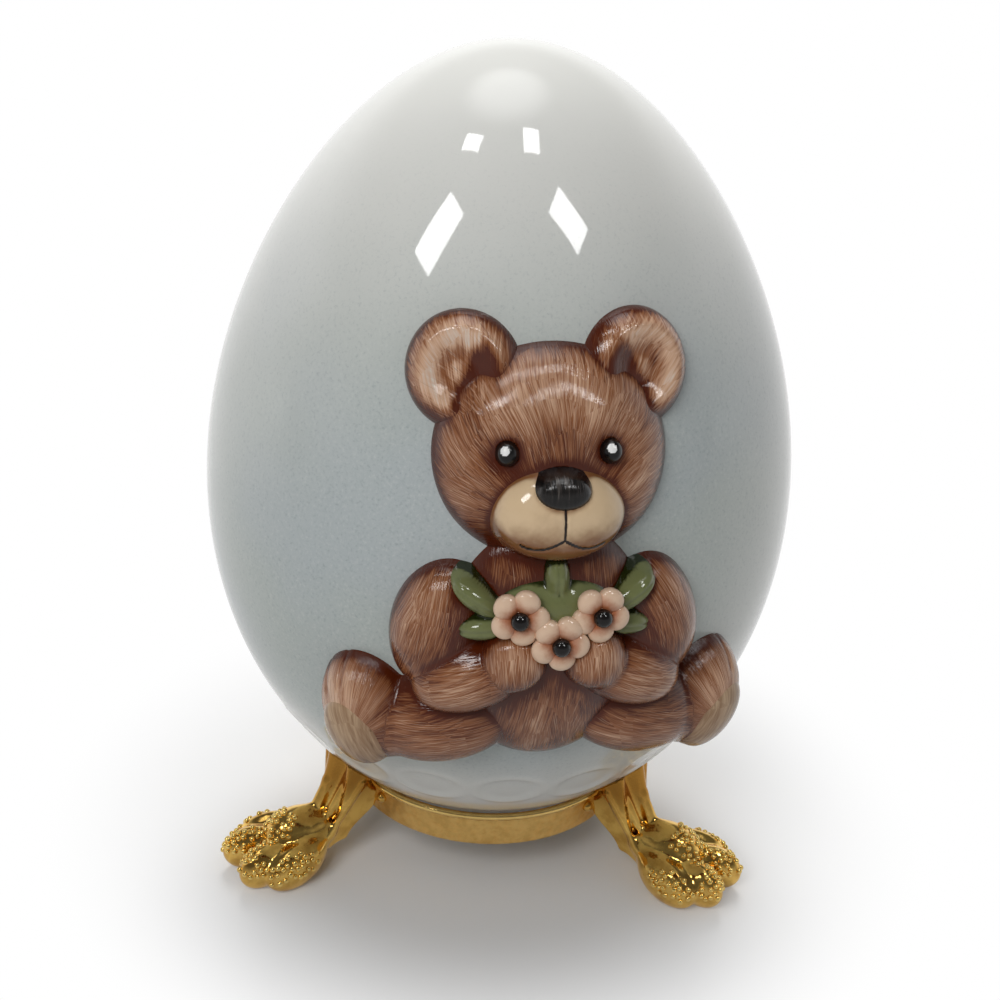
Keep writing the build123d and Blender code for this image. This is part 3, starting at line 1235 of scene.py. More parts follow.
    def build(self) -> list[bpy.types.Object]:
        """Builds the relief.

        Returns:
            Its pieces, riding with the egg.
        """
        g = self.grid
        sculpts = self.sculpts()
        heights = np.stack([s.height for s in sculpts])
        whole = np.maximum(heights.max(0), 0)
        # Painted shade: creases and hollows darker, where glaze also pools, and slopes facing down
        # darker. Painted light: raised forms and slopes facing up lighter.
        crease, broad = (g.blurred(whole, width) - whole for width in self.crease_widths)
        facing = np.clip(-np.gradient(g.blurred(whole, self.slope_width), g.pitch, axis=0), -1, 1)
        pool_and_shade = sum(np.clip(dip * share, 0, most) for dip, (share, most)
                   in zip((crease, broad), (self.crease_pool_and_shade, self.broad_pool_and_shade)))
        pool_and_shade = pool_and_shade + np.clip(-facing, 0, 1) * self.underside_shade
        share, most = self.broad_light
        lit = np.clip(-broad * share, 0, most) + np.clip(facing, 0, 1) * self.top_light
        finishes = self.finishes()
        pieces = []
        for index, sculpt in enumerate(sculpts):
            # The low edges where the relief meets the egg are darker: glaze pools there, with
            # painted shade.
            edge = smooth_step(*self.edge_heights, sculpt.height) * self.edge_pool_and_shade
            kept = {"stroke": sculpt.strokes, "pool_and_shade": pool_and_shade + edge + sculpt.shade,
                    "lit": np.clip(lit + self.painted_inner_light * sculpt.inner, 0, self.most_light),
                    "mark": np.zeros_like(pool_and_shade) + sculpt.mark}
            name = sculpt.node + "_glazed" + (f"_{index}" if sculpt.node in self.pairs else "")
            piece = self.piece(sculpt, name, np.delete(heights, index, 0).max(0), kept)
            material, slot = finishes.get(sculpt.node, finishes["fur"])
            piece.data.materials.append(material)
            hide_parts(sculpt.node)
            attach(piece, "egg")
            pieces.append(piece)
        return pieces

    def finishes(self) -> dict[str, tuple[bpy.types.Material, str]]:
        """The glaze and the slot of each node, and of the fur.

        Returns:
            The material and the slot, by node.
        """
        cream = PlainGlaze("muzzle_glaze", colour(226, 198, 160), colour(138, 92, 56),
                           mottle=1.0, grain=380.0)
        sole = BrushedGlaze("sole_glaze", colour(96, 60, 36), colour(152, 120, 90),
                            colour(188, 158, 126), colour(206, 182, 152), hair_share=0.25,
                            dark_share=0.2, stroke_width=0.22, stroke_length=2.6)
        green = PlainGlaze("leaf_glaze", colour(118, 124, 80), colour(34, 42, 12), mottle=1.2)
        black = PlainGlaze("eye_glaze", colour(12, 10, 9), colour(7, 6, 6),
                           colour(248, 248, 246), roughness=0.22)
        nose = BrushedGlaze("nose_glaze", colour(8, 6, 6), colour(14, 12, 11), colour(34, 30, 28),
                            colour(120, 112, 106), hair_share=0.35, dark_share=0.8,
                            stroke_width=0.16, stroke_length=2.0, wander=0.25, roughness=0.2)
        glazes = {"bear_muzzle": (cream, "cream_glaze"), "bear_soles": (sole, "cream_glaze"),
                  "posy_leaves": (green, "green_glaze"), "bear_eyes": (black, "black_glaze"),
                  "bear_nose": (nose, "black_glaze"), "fur": (BrushedGlaze(), "brown_glaze")}
        return {node: (glaze.material(), slot) for node, (glaze, slot) in glazes.items()}


class Tree(Nodes):
    """A small builder for one Geometry Nodes tree, run once and taken off as a plain mesh."""

    prefix: str = "GeometryNode"

    def __init__(self, name: str) -> None:
        """Starts a tree that takes and gives a geometry.

        Args:
            name: the tree's name.
        """
        self.tree = bpy.data.node_groups.new(name, "GeometryNodeTree")
        for way in ("INPUT", "OUTPUT"):
            self.tree.interface.new_socket("Geometry", in_out=way,
                                           socket_type="NodeSocketGeometry")
        self.source = self.tree.nodes.new("NodeGroupInput")
        self.end = self.tree.nodes.new("NodeGroupOutput")
        self.sizes: dict[str, object] = {}

    def given(self) -> Wire:
        """The geometry that the tree takes."""
        return Wire(self, self.source.outputs[0])

    def size(self, name: str, value: object, kind: str = "NodeSocketFloat") -> Wire:
        """Adds a named input with its value and returns it inside the tree.

        Args:
            name: the input's name.
            value: what it is set to.
            kind: the type of its socket.

        Returns:
            The value, inside the tree.
        """
        item = self.tree.interface.new_socket(name, in_out="INPUT", socket_type=kind)
        self.sizes[item.identifier] = value
        return Wire(self, self.source.outputs[name])

    def on_points(self, shape: Wire) -> Wire:
        """A shape set on every given point, turned to face the way the point says.

        Args:
            shape: the shape, which stands along Z.

        Returns:
            The instances.
        """
        facing = self.wire("InputNamedAttribute", {"data_type": "FLOAT_VECTOR"}, Name="facing")
        turn = self.wire("FunctionNodeAlignRotationToVector", {"axis": "Z"}, Vector=facing)
        return self.wire("InstanceOnPoints", Points=self.given(), Instance=shape, Rotation=turn)

    def finished(self, instances: Wire, base: bpy.types.Object, name: str,
                 material: bpy.types.Material) -> bpy.types.Object:
        """Ends the tree, runs it on a base object and keeps the result as a plain mesh.

        Args:
            instances: what the tree made.
            base: the object that the tree reads. It is left as it was.
            name: the new piece's name.
            material: the new piece's material.

        Returns:
            The new piece.
        """
        real = self.wire("RealizeInstances", Geometry=instances)
        smooth = self.wire("SetShadeSmooth", Geometry=real)
        self.feed(self.end.inputs[0], self.wire("SetMaterial", Geometry=smooth, Material=material))
        modifier = base.modifiers.new(self.tree.name, "NODES")
        modifier.node_group = self.tree
        for identifier, value in self.sizes.items():
            modifier[identifier] = value
        view = bpy.context.evaluated_depsgraph_get()
        mesh = bpy.data.meshes.new_from_object(base.evaluated_get(view))
        base.modifiers.remove(modifier)
        mesh.name = name
        return placed(name, mesh)


@dataclass
class Posy:
    """Three five-petalled blossoms and their dark middles, each on a point of the relief."""

    grid: ReliefGrid = field(default_factory=ReliefGrid)
    spots: tuple[Place, ...] = (
        (-0.068, 0.448, 0.128), (0.068, 0.448, 0.128), (0.0, 0.400, 0.136))
    radius: float = 2.8
    thickness: float = 2.2
    petals: int = 5
    petal_shares: Place = (0.40 * 1.06, 0.40 * 1.16, 0.0)
    petal_reach_share: float = 0.60
    middle_share: float = 0.90
    dome_share: float = 0.34
    # petals darker at their inner end: glaze pools there, with painted shade
    pool_and_shade_reach: float = 0.45
    pool_and_shade_share: float = 0.8
    seed_radius: float = 0.9
    petal_net: tuple[int, int] = (28, 20)
    seed_net: tuple[int, int] = (32, 20)

    def anchors(self) -> bpy.types.Object:
        """One loose point for each blossom, with the way that it faces.

        Returns:
            The points as an object, to be removed after use.
        """
        across, up, rise = (np.array(self.spots) * self.grid.bear_height).T
        spots, normals = self.grid.place(across, up)
        return new_object("posy_points", spots + normals * (rise - self.thickness)[:, None],
                          np.zeros((0, 4), int), {"facing": normals})

    def petal(self, tree: Tree) -> Wire:
        """One petal of unit size: a low dome over a deep root, darker at its inner end, where glaze
        pools, with painted shade.

        Args:
            tree: the tree being built.

        Returns:
            The petal's mesh.
        """
        segments, rings = self.petal_net
        ball = tree.wire("MeshUVSphere", Segments=segments, Rings=rings, Radius=1.0)
        parts = tree.wires("ShaderNodeSeparateXYZ", Vector=tree.wire("InputPosition"))
        x, y, z = parts["X"], parts["Y"], parts["Z"]
        root_share = 1 - self.dome_share
        tall = (tree.math("MAXIMUM", z, 0.0) * self.dome_share
                + tree.math("MINIMUM", z, 0.0) * root_share + root_share)
        moved = tree.wire("SetPosition", Geometry=ball,
                          Position=tree.wire("ShaderNodeCombineXYZ", X=x, Y=y, Z=tall))
        return tree.wire("StoreNamedAttribute", {"data_type": "FLOAT", "domain": "POINT"},
                         Geometry=moved, Name="pool_and_shade",
                         Value=(x * -1.0 + self.pool_and_shade_reach) * self.pool_and_shade_share)

    def flower(self, tree: Tree) -> Wire:
        """One blossom standing on the XY plane, its petals set round a middle disc.

        Args:
            tree: the tree being built.

        Returns:
            The blossom's instances.
        """
        radius = tree.size("Blossom Radius", self.radius * MM)
        thick = tree.size("Blossom Thickness", self.thickness * MM)
        count = tree.size("Petals", self.petals, "NodeSocketInt")
        ring = tree.wire("MeshCircle", Vertices=count, Radius=radius * self.petal_reach_share)
        turn = tree.wire("FunctionNodeAlignRotationToVector", {"axis": "X"},
                         Vector=tree.wire("InputPosition"))
        petal = self.petal(tree)
        flat = tree.wire("ShaderNodeVectorMath", {"operation": "SCALE"},
                         Vector=self.petal_shares, Scale=radius)
        whole = tree.vector("ADD", flat, tree.wire("ShaderNodeCombineXYZ", Z=thick))
        less = tree.vector("MULTIPLY", whole, (self.middle_share,) * 3)
        middle = tree.wire("Transform", Geometry=petal, Scale=less)
        join = tree.node("JoinGeometry", Geometry=middle)
        tree.feed(join.inputs[0], tree.wire("InstanceOnPoints", Points=ring, Instance=petal,
                                            Rotation=turn, Scale=whole))
        return Wire(tree, join.outputs[0])

    def seed(self, tree: Tree) -> Wire:
        """One seed, raised to the blossom's top.

        Args:
            tree: the tree being built.

        Returns:
            The seed's mesh.
        """
        radius = tree.size("Seed Radius", self.seed_radius * MM)
        rise = tree.size("Seed Rise", self.thickness * MM)
        segments, rings = self.seed_net
        ball = tree.wire("MeshUVSphere", Segments=segments, Rings=rings, Radius=radius)
        return tree.wire("Transform", Geometry=ball,
                         Translation=tree.wire("ShaderNodeCombineXYZ", Z=rise))

    def build(self) -> list[bpy.types.Object]:
        """Builds the blossoms and the seeds.

        Returns:
            Two pieces, riding with the egg.
        """
        base = self.anchors()
        peach = PlainGlaze("peach_glaze", colour(232, 200, 172), colour(176, 104, 68), mottle=0.8)
        black = PlainGlaze("seed_glaze", colour(18, 14, 13), colour(8, 6, 6))
        pieces = []
        for tree_name, shape, name, glaze, node, slot in (
                ("blossom_tree", self.flower, "posy_petals", peach, "posy_blossoms", "peach_glaze"),
                ("seed_tree", self.seed, "posy_seeds", black, "blossom_seeds", "black_glaze")):
            tree = Tree(tree_name)
            piece = tree.finished(tree.on_points(shape(tree)), base, name, glaze.material())
            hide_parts(node)
            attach(piece, "egg")
            pieces.append(piece)
        bpy.data.objects.remove(base)
        return pieces


def surface_net(shape: Callable[[Points], Points], low: Sequence[float], high: Sequence[float],
                pitch: float) -> tuple[Points, Points]:
    """A closed mesh of the places where a shape's distance is zero. Inside is below zero.

    Args:
        shape: the distance at any places.
        low: lowest corner of the box to look in.
        high: highest corner.
        pitch: size of a cell.

    Returns:
        Corner places, drawn onto the shape, and quads that face outwards.
    """
    axes = [np.arange(a, b + pitch, pitch) for a, b in zip(low, high)]
    value = shape(np.stack(np.meshgrid(*axes, indexing="ij"), -1))
    cells = tuple(n - 1 for n in value.shape)
    total, count = np.zeros((*cells, 3)), np.zeros(cells)
    crossed = []

    def cut(spans: dict[int, tuple[int, int]]) -> tuple[slice, ...]:
        """Slices of the three axes, the whole of each one that isn't named."""
        return tuple(slice(*spans.get(k, (None, None))) for k in range(3))

    for axis in range(3):
        near, far = value[cut({axis: (0, cells[axis])})], value[cut({axis: (1, cells[axis] + 1)})]
        cross = (near < 0) != (far < 0)
        share = np.where(cross, near / np.where(cross, near - far, 1), 0)
        b, c = (axis + 1) % 3, (axis + 2) % 3
        crossed.append((cross, near < 0, b, c))
        counted = [np.arange(n, dtype=float) for n in cross.shape]
        at = np.stack(np.meshgrid(*counted, indexing="ij"), -1)
        at[..., axis] += share
        for i in (0, 1):
            for j in (0, 1):
                part = cut({b: (i, i + cells[b]), c: (j, j + cells[c])})
                total += at[part] * cross[part][..., None]
                count += cross[part]
    used = count > 0
    number = np.full(cells, -1)
    number[used] = np.arange(used.sum())
    points = np.array(low) + total[used] / count[used][:, None] * pitch
    faces = []
    for axis, (cross, inside, b, c) in enumerate(crossed):
        inner = cut({b: (1, cells[b]), c: (1, cells[c])})
        spot = np.argwhere(cross[inner]) + np.array([0 if k == axis else 1 for k in range(3)])
        step_b, step_c = np.eye(3, dtype=int)[b], np.eye(3, dtype=int)[c]
        back = (step_b + step_c, step_c, 0 * step_b, step_b)
        quad = np.stack([number[tuple((spot - o).T)] for o in back], -1)
        outward = inside[inner][cross[inner]]
        faces.append(np.where(outward[:, None], quad, quad[:, ::-1]))
    reach = pitch / 4
    for _ in range(DRAWS_IN):
        slope = np.stack([shape(points + reach * e) - shape(points - reach * e)
                          for e in np.eye(3)], -1)
        slope /= 2 * reach
        steep = np.maximum((slope * slope).sum(-1, keepdims=True), LEAST_STEEP)
        points = points - np.clip(shape(points)[:, None] * slope / steep, -pitch / 2, pitch / 2)
    return points, np.vstack(faces)


@dataclass(frozen=True)
class Knob:
    """An ellipsoid that flows into a casting. Its turn and its dip are in degrees."""

    centre: Place
    halves: Place
    flow: float
    turn: float = 0.0
    tilt: float = 0.0

    def distance(self, p: Points, side: int = 1) -> Points:
        """Distance to it, or to its mirror image by a side of -1. Below zero inside.

        Args:
            p: any places.
            side: 1, or -1 for its mirror image.

        Returns:
            The distance at each place.
        """
        q = p - np.array(self.centre) * (1, side, 1)
        x, y = rotated(q[..., 0], q[..., 1], -side * self.turn)
        x, z = rotated(x, q[..., 2], self.tilt)
        q, halves = np.stack([x, y, z], -1), np.array(self.halves)
        one = np.linalg.norm(q / halves, axis=-1)
        two = np.linalg.norm(q / halves ** 2, axis=-1)
        return one * (one - 1) / np.maximum(two, 1e-6)


@dataclass(frozen=True)
class Strut:
    """A straight cord that flows into a casting and swells from one radius to another."""

    start: Place
    end: Place
    radii: Pair
    flow: float

    def distance(self, p: Points, side: int = 1) -> Points:
        """Distance to it, or to its mirror image by a side of -1. Below zero inside.

        Args:
            p: any places.
            side: 1, or -1 for its mirror image.

        Returns:
            The distance at each place.
        """
        a, b = np.array(self.start) * (1, side, 1), np.array(self.end) * (1, side, 1)
        t = np.clip(((p - a) @ (b - a)) / ((b - a) @ (b - a)), 0, 1)
        radius = self.radii[0] + (self.radii[1] - self.radii[0]) * t
        return np.linalg.norm(p - (a + t[..., None] * (b - a)), axis=-1) - radius


@dataclass
class LionPawLegs:
    """Three castings of one leg: a fluted shank that leans out to a humped paw with four toes."""

    form: EggForm = EGG
    reach: float = 32.0
    height: float = 15.2
    width: float = 6.4
    paw_width: float = 10.9
    paw_height: float = 7.2
    pitch: float = 0.17
    box: tuple[Place, Place] = ((14.4, -6.4, -0.3), (32.8, 6.4, 15.6))
    clearance: float = 0.2
    ring_radius: float = 15.9
    ring_overlap: float = 0.5
    flute_depth: float = 0.85
    flute_place: float = 0.46
    flute_width: float = 0.20
    edge_flow: float = 0.45
    ridge_width: float = 0.75
    front_lean: float = 1.15
    hump_flow: float = 1.3
    toe_flow: float = 1.0
    steepest_lean: float = 4.0
    below_egg: float = 9.0
    cut_flow: float = 0.2
    sole_flow: float = 0.35
    slack: float = 0.2
    levels: int = 161
    smoothing: int = 33
    shank: Rows = (
        (1.000, 0.530, 0.596, 0.620, 0.50),
        (0.850, 0.500, 0.601, 0.630, 0.50),
        (0.650, 0.470, 0.608, 0.643, 0.45),
        (0.434, 0.478, 0.624, 0.667, 0.39),
        (0.320, 0.556, 0.638, 0.684, 0.36),
        (0.200, 0.594, 0.663, 0.706, 0.34),
    )
    hump: tuple[float, ...] = (0.750, 0.0, 0.46, 0.131, 0.275, 0.540, 0.0, 10.0)
    toes: Rows = (
        (0.903, 0.183, 0.319, 0.097, 0.165, 0.347, 10.0, 8.0),
        (0.806, 0.330, 0.325, 0.122, 0.161, 0.350, 14.0, 8.0),
    )
    spine: tuple[Strut | Knob, ...] = (
        Strut((19.1, 0, 13.6), (20.3, 0, 9.9), (0.50, 0.55), 0.5),
        Strut((20.3, 0, 9.9), (22.0, 0, 6.2), (0.55, 0.72), 0.5),
        Knob((22.6, 0, 6.2), (1.0, 0.9, 0.9), 0.6),
    )
    ribs: tuple[Strut | Knob, ...] = (
        Strut((18.6, 1.7, 11.0), (20.6, 1.35, 6.6), (0.40, 0.55), 0.6),
        Knob((21.9, 1.15, 5.5), (0.95, 0.8, 0.8), 0.9),
        Strut((17.4, 3.0, 10.4), (21.1, 2.3, 4.4), (0.26, 0.34), 0.5),
        Strut((21.0, 2.0, 4.6), (23.6, 3.3, 3.4), (0.45, 0.90), 1.0),
    )
    solder: Knob = Knob((15.5, 3.9, 8.6), (0.6, 0.65, 0.6), 0.8)
    grain_spots: Rows = (
        (26.5, 0.8, 5.9, 1.7), (28.1, 1.2, 4.7, 0.9), (30.6, 1.7, 3.9, 1.5), (30.6, 3.2, 3.0, 1.3),
        (26.6, 5.0, 3.3, 1.5), (28.4, 4.9, 2.8, 1.2), (24.8, 4.8, 3.2, 1.0))
    grain_squeeze: Place = (0.75, 1, 0.9)
    grain_edge: float = 0.92
    grain_radius: float = 0.33
    grain_pitch: float = 0.56
    grain_sizes: Pair = (0.85, 1.12)
    grain_density: float = 1.2e7
    grain_seed: int = 7

    def paw_knob(self, shares: Sequence[float], flow: float) -> Knob:
        """One of the paw's lumps.

        Args:
            shares: its place and half sizes, in shares of the leg's reach and the paw's
                width and height, and its turn and dip in degrees.
            flow: how softly it runs into the casting, in millimetres.

        Returns:
            The lump, on the paw's +Y side.
        """
        along, aside, up, long_, wide, high, splay, tilt = shares
        r, w, h = self.reach, self.paw_width, self.paw_height
        return Knob((along * r, aside * w, up * h), (long_ * r, wide * w, high * h), flow,
                    splay, tilt)

    def shank_distance(self, p: Points) -> Points:
        """Distance to the fluted shank.

        Args:
            p: any places.

        Returns:
            The distance at each place.
        """
        rows = np.array(self.shank)[::-1]
        levels = np.linspace(rows[0, 0] - 0.3, rows[-1, 0] + 0.3, self.levels)
        kernel = np.hanning(self.smoothing) / np.hanning(self.smoothing).sum()
        sides = []
        for k in range(1, 5):
            line = np.interp(levels, rows[:, 0], rows[:, k])
            line = np.convolve(np.pad(line, self.smoothing // 2, mode="edge"), kernel, "valid")
            sides.append(np.interp(p[..., 2] / self.height, levels, line))
        inner, edge, ridge = (side * self.reach for side in sides[:3])
        half = sides[3] * self.width
        aside = np.abs(p[..., 1]) / half
        front = edge + (ridge - edge) * (1 - smooth_step(0.0, self.ridge_width, aside))
        flute = np.exp(-((aside - self.flute_place) / self.flute_width) ** 2)
        front = front - self.flute_depth * flute
        away = (p[..., 0] - front) / self.front_lean
        for face in (inner - p[..., 0], np.abs(p[..., 1]) - half,
                     p[..., 2] - self.height - 2 * self.slack,
                     rows[0, 0] * self.height - self.slack - p[..., 2]):
            away = blend_max(away, face, self.edge_flow)
        return away

    def distance(self, p: Points) -> Points:
        """Distance to the whole leg, reaching out along +X.

        Args:
            p: any places.

        Returns:
            The distance at each place.
        """
        away = self.shank_distance(p)
        for part in (self.paw_knob(self.hump, self.hump_flow), *self.spine):
            away = blend_min(away, part.distance(p), part.flow)
        toes = [self.paw_knob(shares, self.toe_flow) for shares in self.toes]
        for side in (-1, 1):
            for part in (*self.ribs, *toes, self.solder):
                away = blend_min(away, part.distance(p, side), part.flow)
        reach_xy = np.hypot(p[..., 0], p[..., 1])
        rise = np.clip(p[..., 2] - self.form.lift, 0, self.form.height)
        steepest = self.steepest_lean
        lean = np.hypot(1, np.clip(self.form.lean_at(rise), -steepest, steepest))
        egg = (reach_xy - self.form.radius_at(rise)) / lean
        egg = np.where(p[..., 2] < self.form.lift, self.below_egg, egg)
        away = blend_max(away, self.clearance - egg, self.cut_flow)
        away = np.maximum(away, self.ring_radius - self.ring_overlap - reach_xy)
        return blend_max(away, -p[..., 2], self.sole_flow)

    def grain_amount(self, points: Points) -> Points:
        """Where the casting is beaded like pelt, the same on both sides of the paw.

        Args:
            points: places on the casting.

        Returns:
            The share of beads at each.
        """
        amount = np.zeros(len(points))
        folded = np.stack([points[:, 0], np.abs(points[:, 1]), points[:, 2]], -1)
        for x, y, z, size in self.grain_spots:
            near = np.linalg.norm((folded - (x, y, z)) * self.grain_squeeze, axis=1)
            amount = np.maximum(amount, 1 - smooth_step(size * self.grain_edge, size, near))
        return amount

    def beads(self, leg: bpy.types.Object, material: bpy.types.Material) -> bpy.types.Object:
        """Small round grains strewn over the paw where it is beaded.

        Args:
            leg: the leg.
            material: the beads' brass.

        Returns:
            The beads, as one piece.
        """
        tree = Tree("bead_tree")
        radius = tree.size("Bead Radius", self.grain_radius * MM)
        apart = tree.size("Bead Spacing", self.grain_pitch * MM)
        seed = tree.size("Bead Seed", self.grain_seed, "NodeSocketInt")
        amount = tree.wire("InputNamedAttribute", {"data_type": "FLOAT"}, Name="grain")
        strewn = tree.wires("DistributePointsOnFaces", {"distribute_method": "POISSON"},
                            Mesh=tree.given(), Distance_Min=apart,
                            Density_Max=self.grain_density,
                            Density_Factor=amount, Seed=seed)
        ball = tree.wire("MeshIcoSphere", Radius=radius, Subdivisions=2)
        size = tree.node("FunctionNodeRandomValue", {"data_type": "FLOAT"}, Seed=seed)
        size.inputs[2].default_value, size.inputs[3].default_value = self.grain_sizes
        grains = tree.wire("InstanceOnPoints", Points=strewn["Points"], Instance=ball,
                           Scale=Wire(tree, size.outputs[1]))
        return tree.finished(grains, leg, leg.name + "_beads", material)

    def build(self) -> list[bpy.types.Object]:
        """Builds the legs with their beads.

        Returns:
            Six pieces, riding with the stand.
        """
        points, faces = surface_net(self.distance, *self.box, self.pitch)
        grain = self.grain_amount(points)
        brass = CastBrass("bright_cast_brass", amber=0.8).material()
        # the beads' brass is a lighter copy of the casting's: painted light standing in for their
        # brighter highlights
        beaded = CastBrass("beaded_brass", colour(250, 216, 128), roughness=0.16,
                           mottle=0.15).material()
        pieces = []
        for number, name in enumerate(("paw_leg_rear", "paw_leg_left", "paw_leg_right")):
            x, y = rotated(points[:, 0], points[:, 1], 90 + 120 * number)
            leg = new_object(name + "_cast", np.stack([x, y, points[:, 2]], -1), faces,
                             {"grain": grain})
            leg.data.materials.append(brass)
            beads = self.beads(leg, beaded)
            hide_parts(name)
            for piece in (leg, beads):
                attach(piece, "stand")
            pieces += [leg, beads]
        return pieces


@dataclass
class SeatRing:
    """The flared band that the egg rests in, satin outside under a bright rolled lip."""

    form: EggForm = EGG
    base_radius: float = 15.3
    top_radius: float = 16.0
    base_height: float = 5.7
    band: float = 4.55
    thickness: float = 1.1
    lip_radius: float = 0.35
    lip_steps: int = 12
    base_inset: float = 0.18
    seat_inset: float = 0.25
    foot_share: float = 0.06
    band_steps: int = 12
    inner_clearance: float = 0.22
    seat_clearance: float = 0.2
    ledge: Place = (0.02, 0.15, 0.1)
    steps: int = 384

    def egg_height(self, radius: float) -> float:
        """How high above the table the egg's lower side is as wide as a radius."""
        heights = np.linspace(0, self.form.height / 3, 400)
        return float(np.interp(radius, self.form.radius_at(heights), heights)) + self.form.lift

    def section(self) -> Points:
        """The ring's section from the top of the lip, down outside and up inside.

        Returns:
            Rows of radius and height.
        """
        top = self.base_height + self.band
        neck = top - 2 * self.lip_radius
        band = [(self.base_radius + (self.top_radius - self.base_radius) * t,
                 self.base_height + (neck - self.base_height) * t)
                for t in np.linspace(self.foot_share, 1, self.band_steps)]
        turns = np.linspace(-math.pi / 2, math.pi / 2, self.lip_steps + 1)[1:]
        lip = [(self.top_radius + self.lip_radius * math.cos(a),
                top - self.lip_radius + self.lip_radius * math.sin(a)) for a in turns]
        inner, seat = self.top_radius - self.thickness, self.top_radius - self.seat_inset
        low = min(self.egg_height(inner) - self.inner_clearance, top)
        outside = [(self.base_radius - self.base_inset, self.base_height), *band, *lip]
        return np.array([*outside[::-1], (self.base_radius - self.thickness, self.base_height),
                         (inner - self.ledge[0], low - self.ledge[1]),
                         (inner + self.ledge[2], low),
                         (seat, min(self.egg_height(seat) - self.seat_clearance, top))])

    def build(self) -> list[bpy.types.Object]:
        """Builds the ring in two finishes.

        Returns:
            The one piece, riding with the stand.
        """
        points, faces, marks = spun(self.section(), self.steps)
        ring = new_object("seat_ring_band", points, faces)
        satin = CastBrass("satin_brass", colour(248, 206, 126), colour(214, 166, 88),
                          roughness=0.40, grain=1700.0)
        bright = CastBrass("bright_lip_brass", colour(250, 214, 134), roughness=0.08, mottle=0.15)
        for brass in (satin, bright):
            ring.data.materials.append(brass.material())
        polished = marks[faces[:, 0], 1] < self.lip_steps
        ring.data.polygons.foreach_set("material_index", polished.astype(np.int32))
        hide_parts("seat_ring")
        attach(ring, "stand")
        return [ring]


@dataclass(frozen=True)
class Camera:
    """The viewpoint of the photograph, worked out from the egg's outline and the feet."""

    lens: float = 75.634
    clip: Pair = (0.01, 50.0)
    distance: float = 230.16
    pitch: float = 0.454
    roll: float = -0.043
    target: Place = (0.276, 0.0, 40.614)
    focal_pixels: float = 2100.945
    frame_pixels: float = 1000.0

    def axes(self) -> tuple[Points, Points, Points, Points]:
        """The camera's place, and its right, up and forward directions.

        Returns:
            The place and the three directions.
        """
        forward = np.array([0, math.cos(self.pitch), -math.sin(self.pitch)])
        up = np.array([0, math.sin(self.pitch), math.cos(self.pitch)])
        right = np.array([1.0, 0, 0])
        place = np.array(self.target) - forward * self.distance
        c, s = math.cos(self.roll), math.sin(self.roll)
        return place, right * c - up * s, right * s + up * c, forward

    def ray(self, pixel: Pair) -> tuple[Points, Points]:
        """The camera's place and the way it looks through a pixel.

        Args:
            pixel: a pixel across and down.

        Returns:
            The place and the direction.
        """
        place, right, up, forward = self.axes()
        middle = self.frame_pixels / 2
        way = (forward + right * (pixel[0] - middle) / self.focal_pixels
               - up * (pixel[1] - middle) / self.focal_pixels)
        return place, way / np.linalg.norm(way)

    def build(self) -> bpy.types.Object:
        """Makes the camera and looks through it.

        Returns:
            The camera.
        """
        place, right, up, forward = self.axes()
        data = bpy.data.cameras.new("camera")
        data.lens, (data.clip_start, data.clip_end) = self.lens, self.clip
        turned = Matrix([right, up, -forward]).transposed().to_4x4()
        camera = placed("camera", data, Matrix.Translation(Vector(place * MM)) @ turned)
        bpy.context.scene.camera = camera
        return camera


@dataclass(frozen=True)
class SoftLamp:
    """A broad soft lamp that looks at the object and isn't mirrored in it.

    Its size and place are in metres, its power in watts.
    """

    name: str
    size: Pair
    place: Place
    power: float

    def build(self) -> None:
        """Hangs the lamp."""
        out = Vector(self.place)
        turn = out.to_track_quat("Z", "Y").to_matrix().to_4x4()
        lamp = area_lamp(self.name, self.size, self.power, Matrix.Translation(out) @ turn)
        lamp.visible_glossy = False


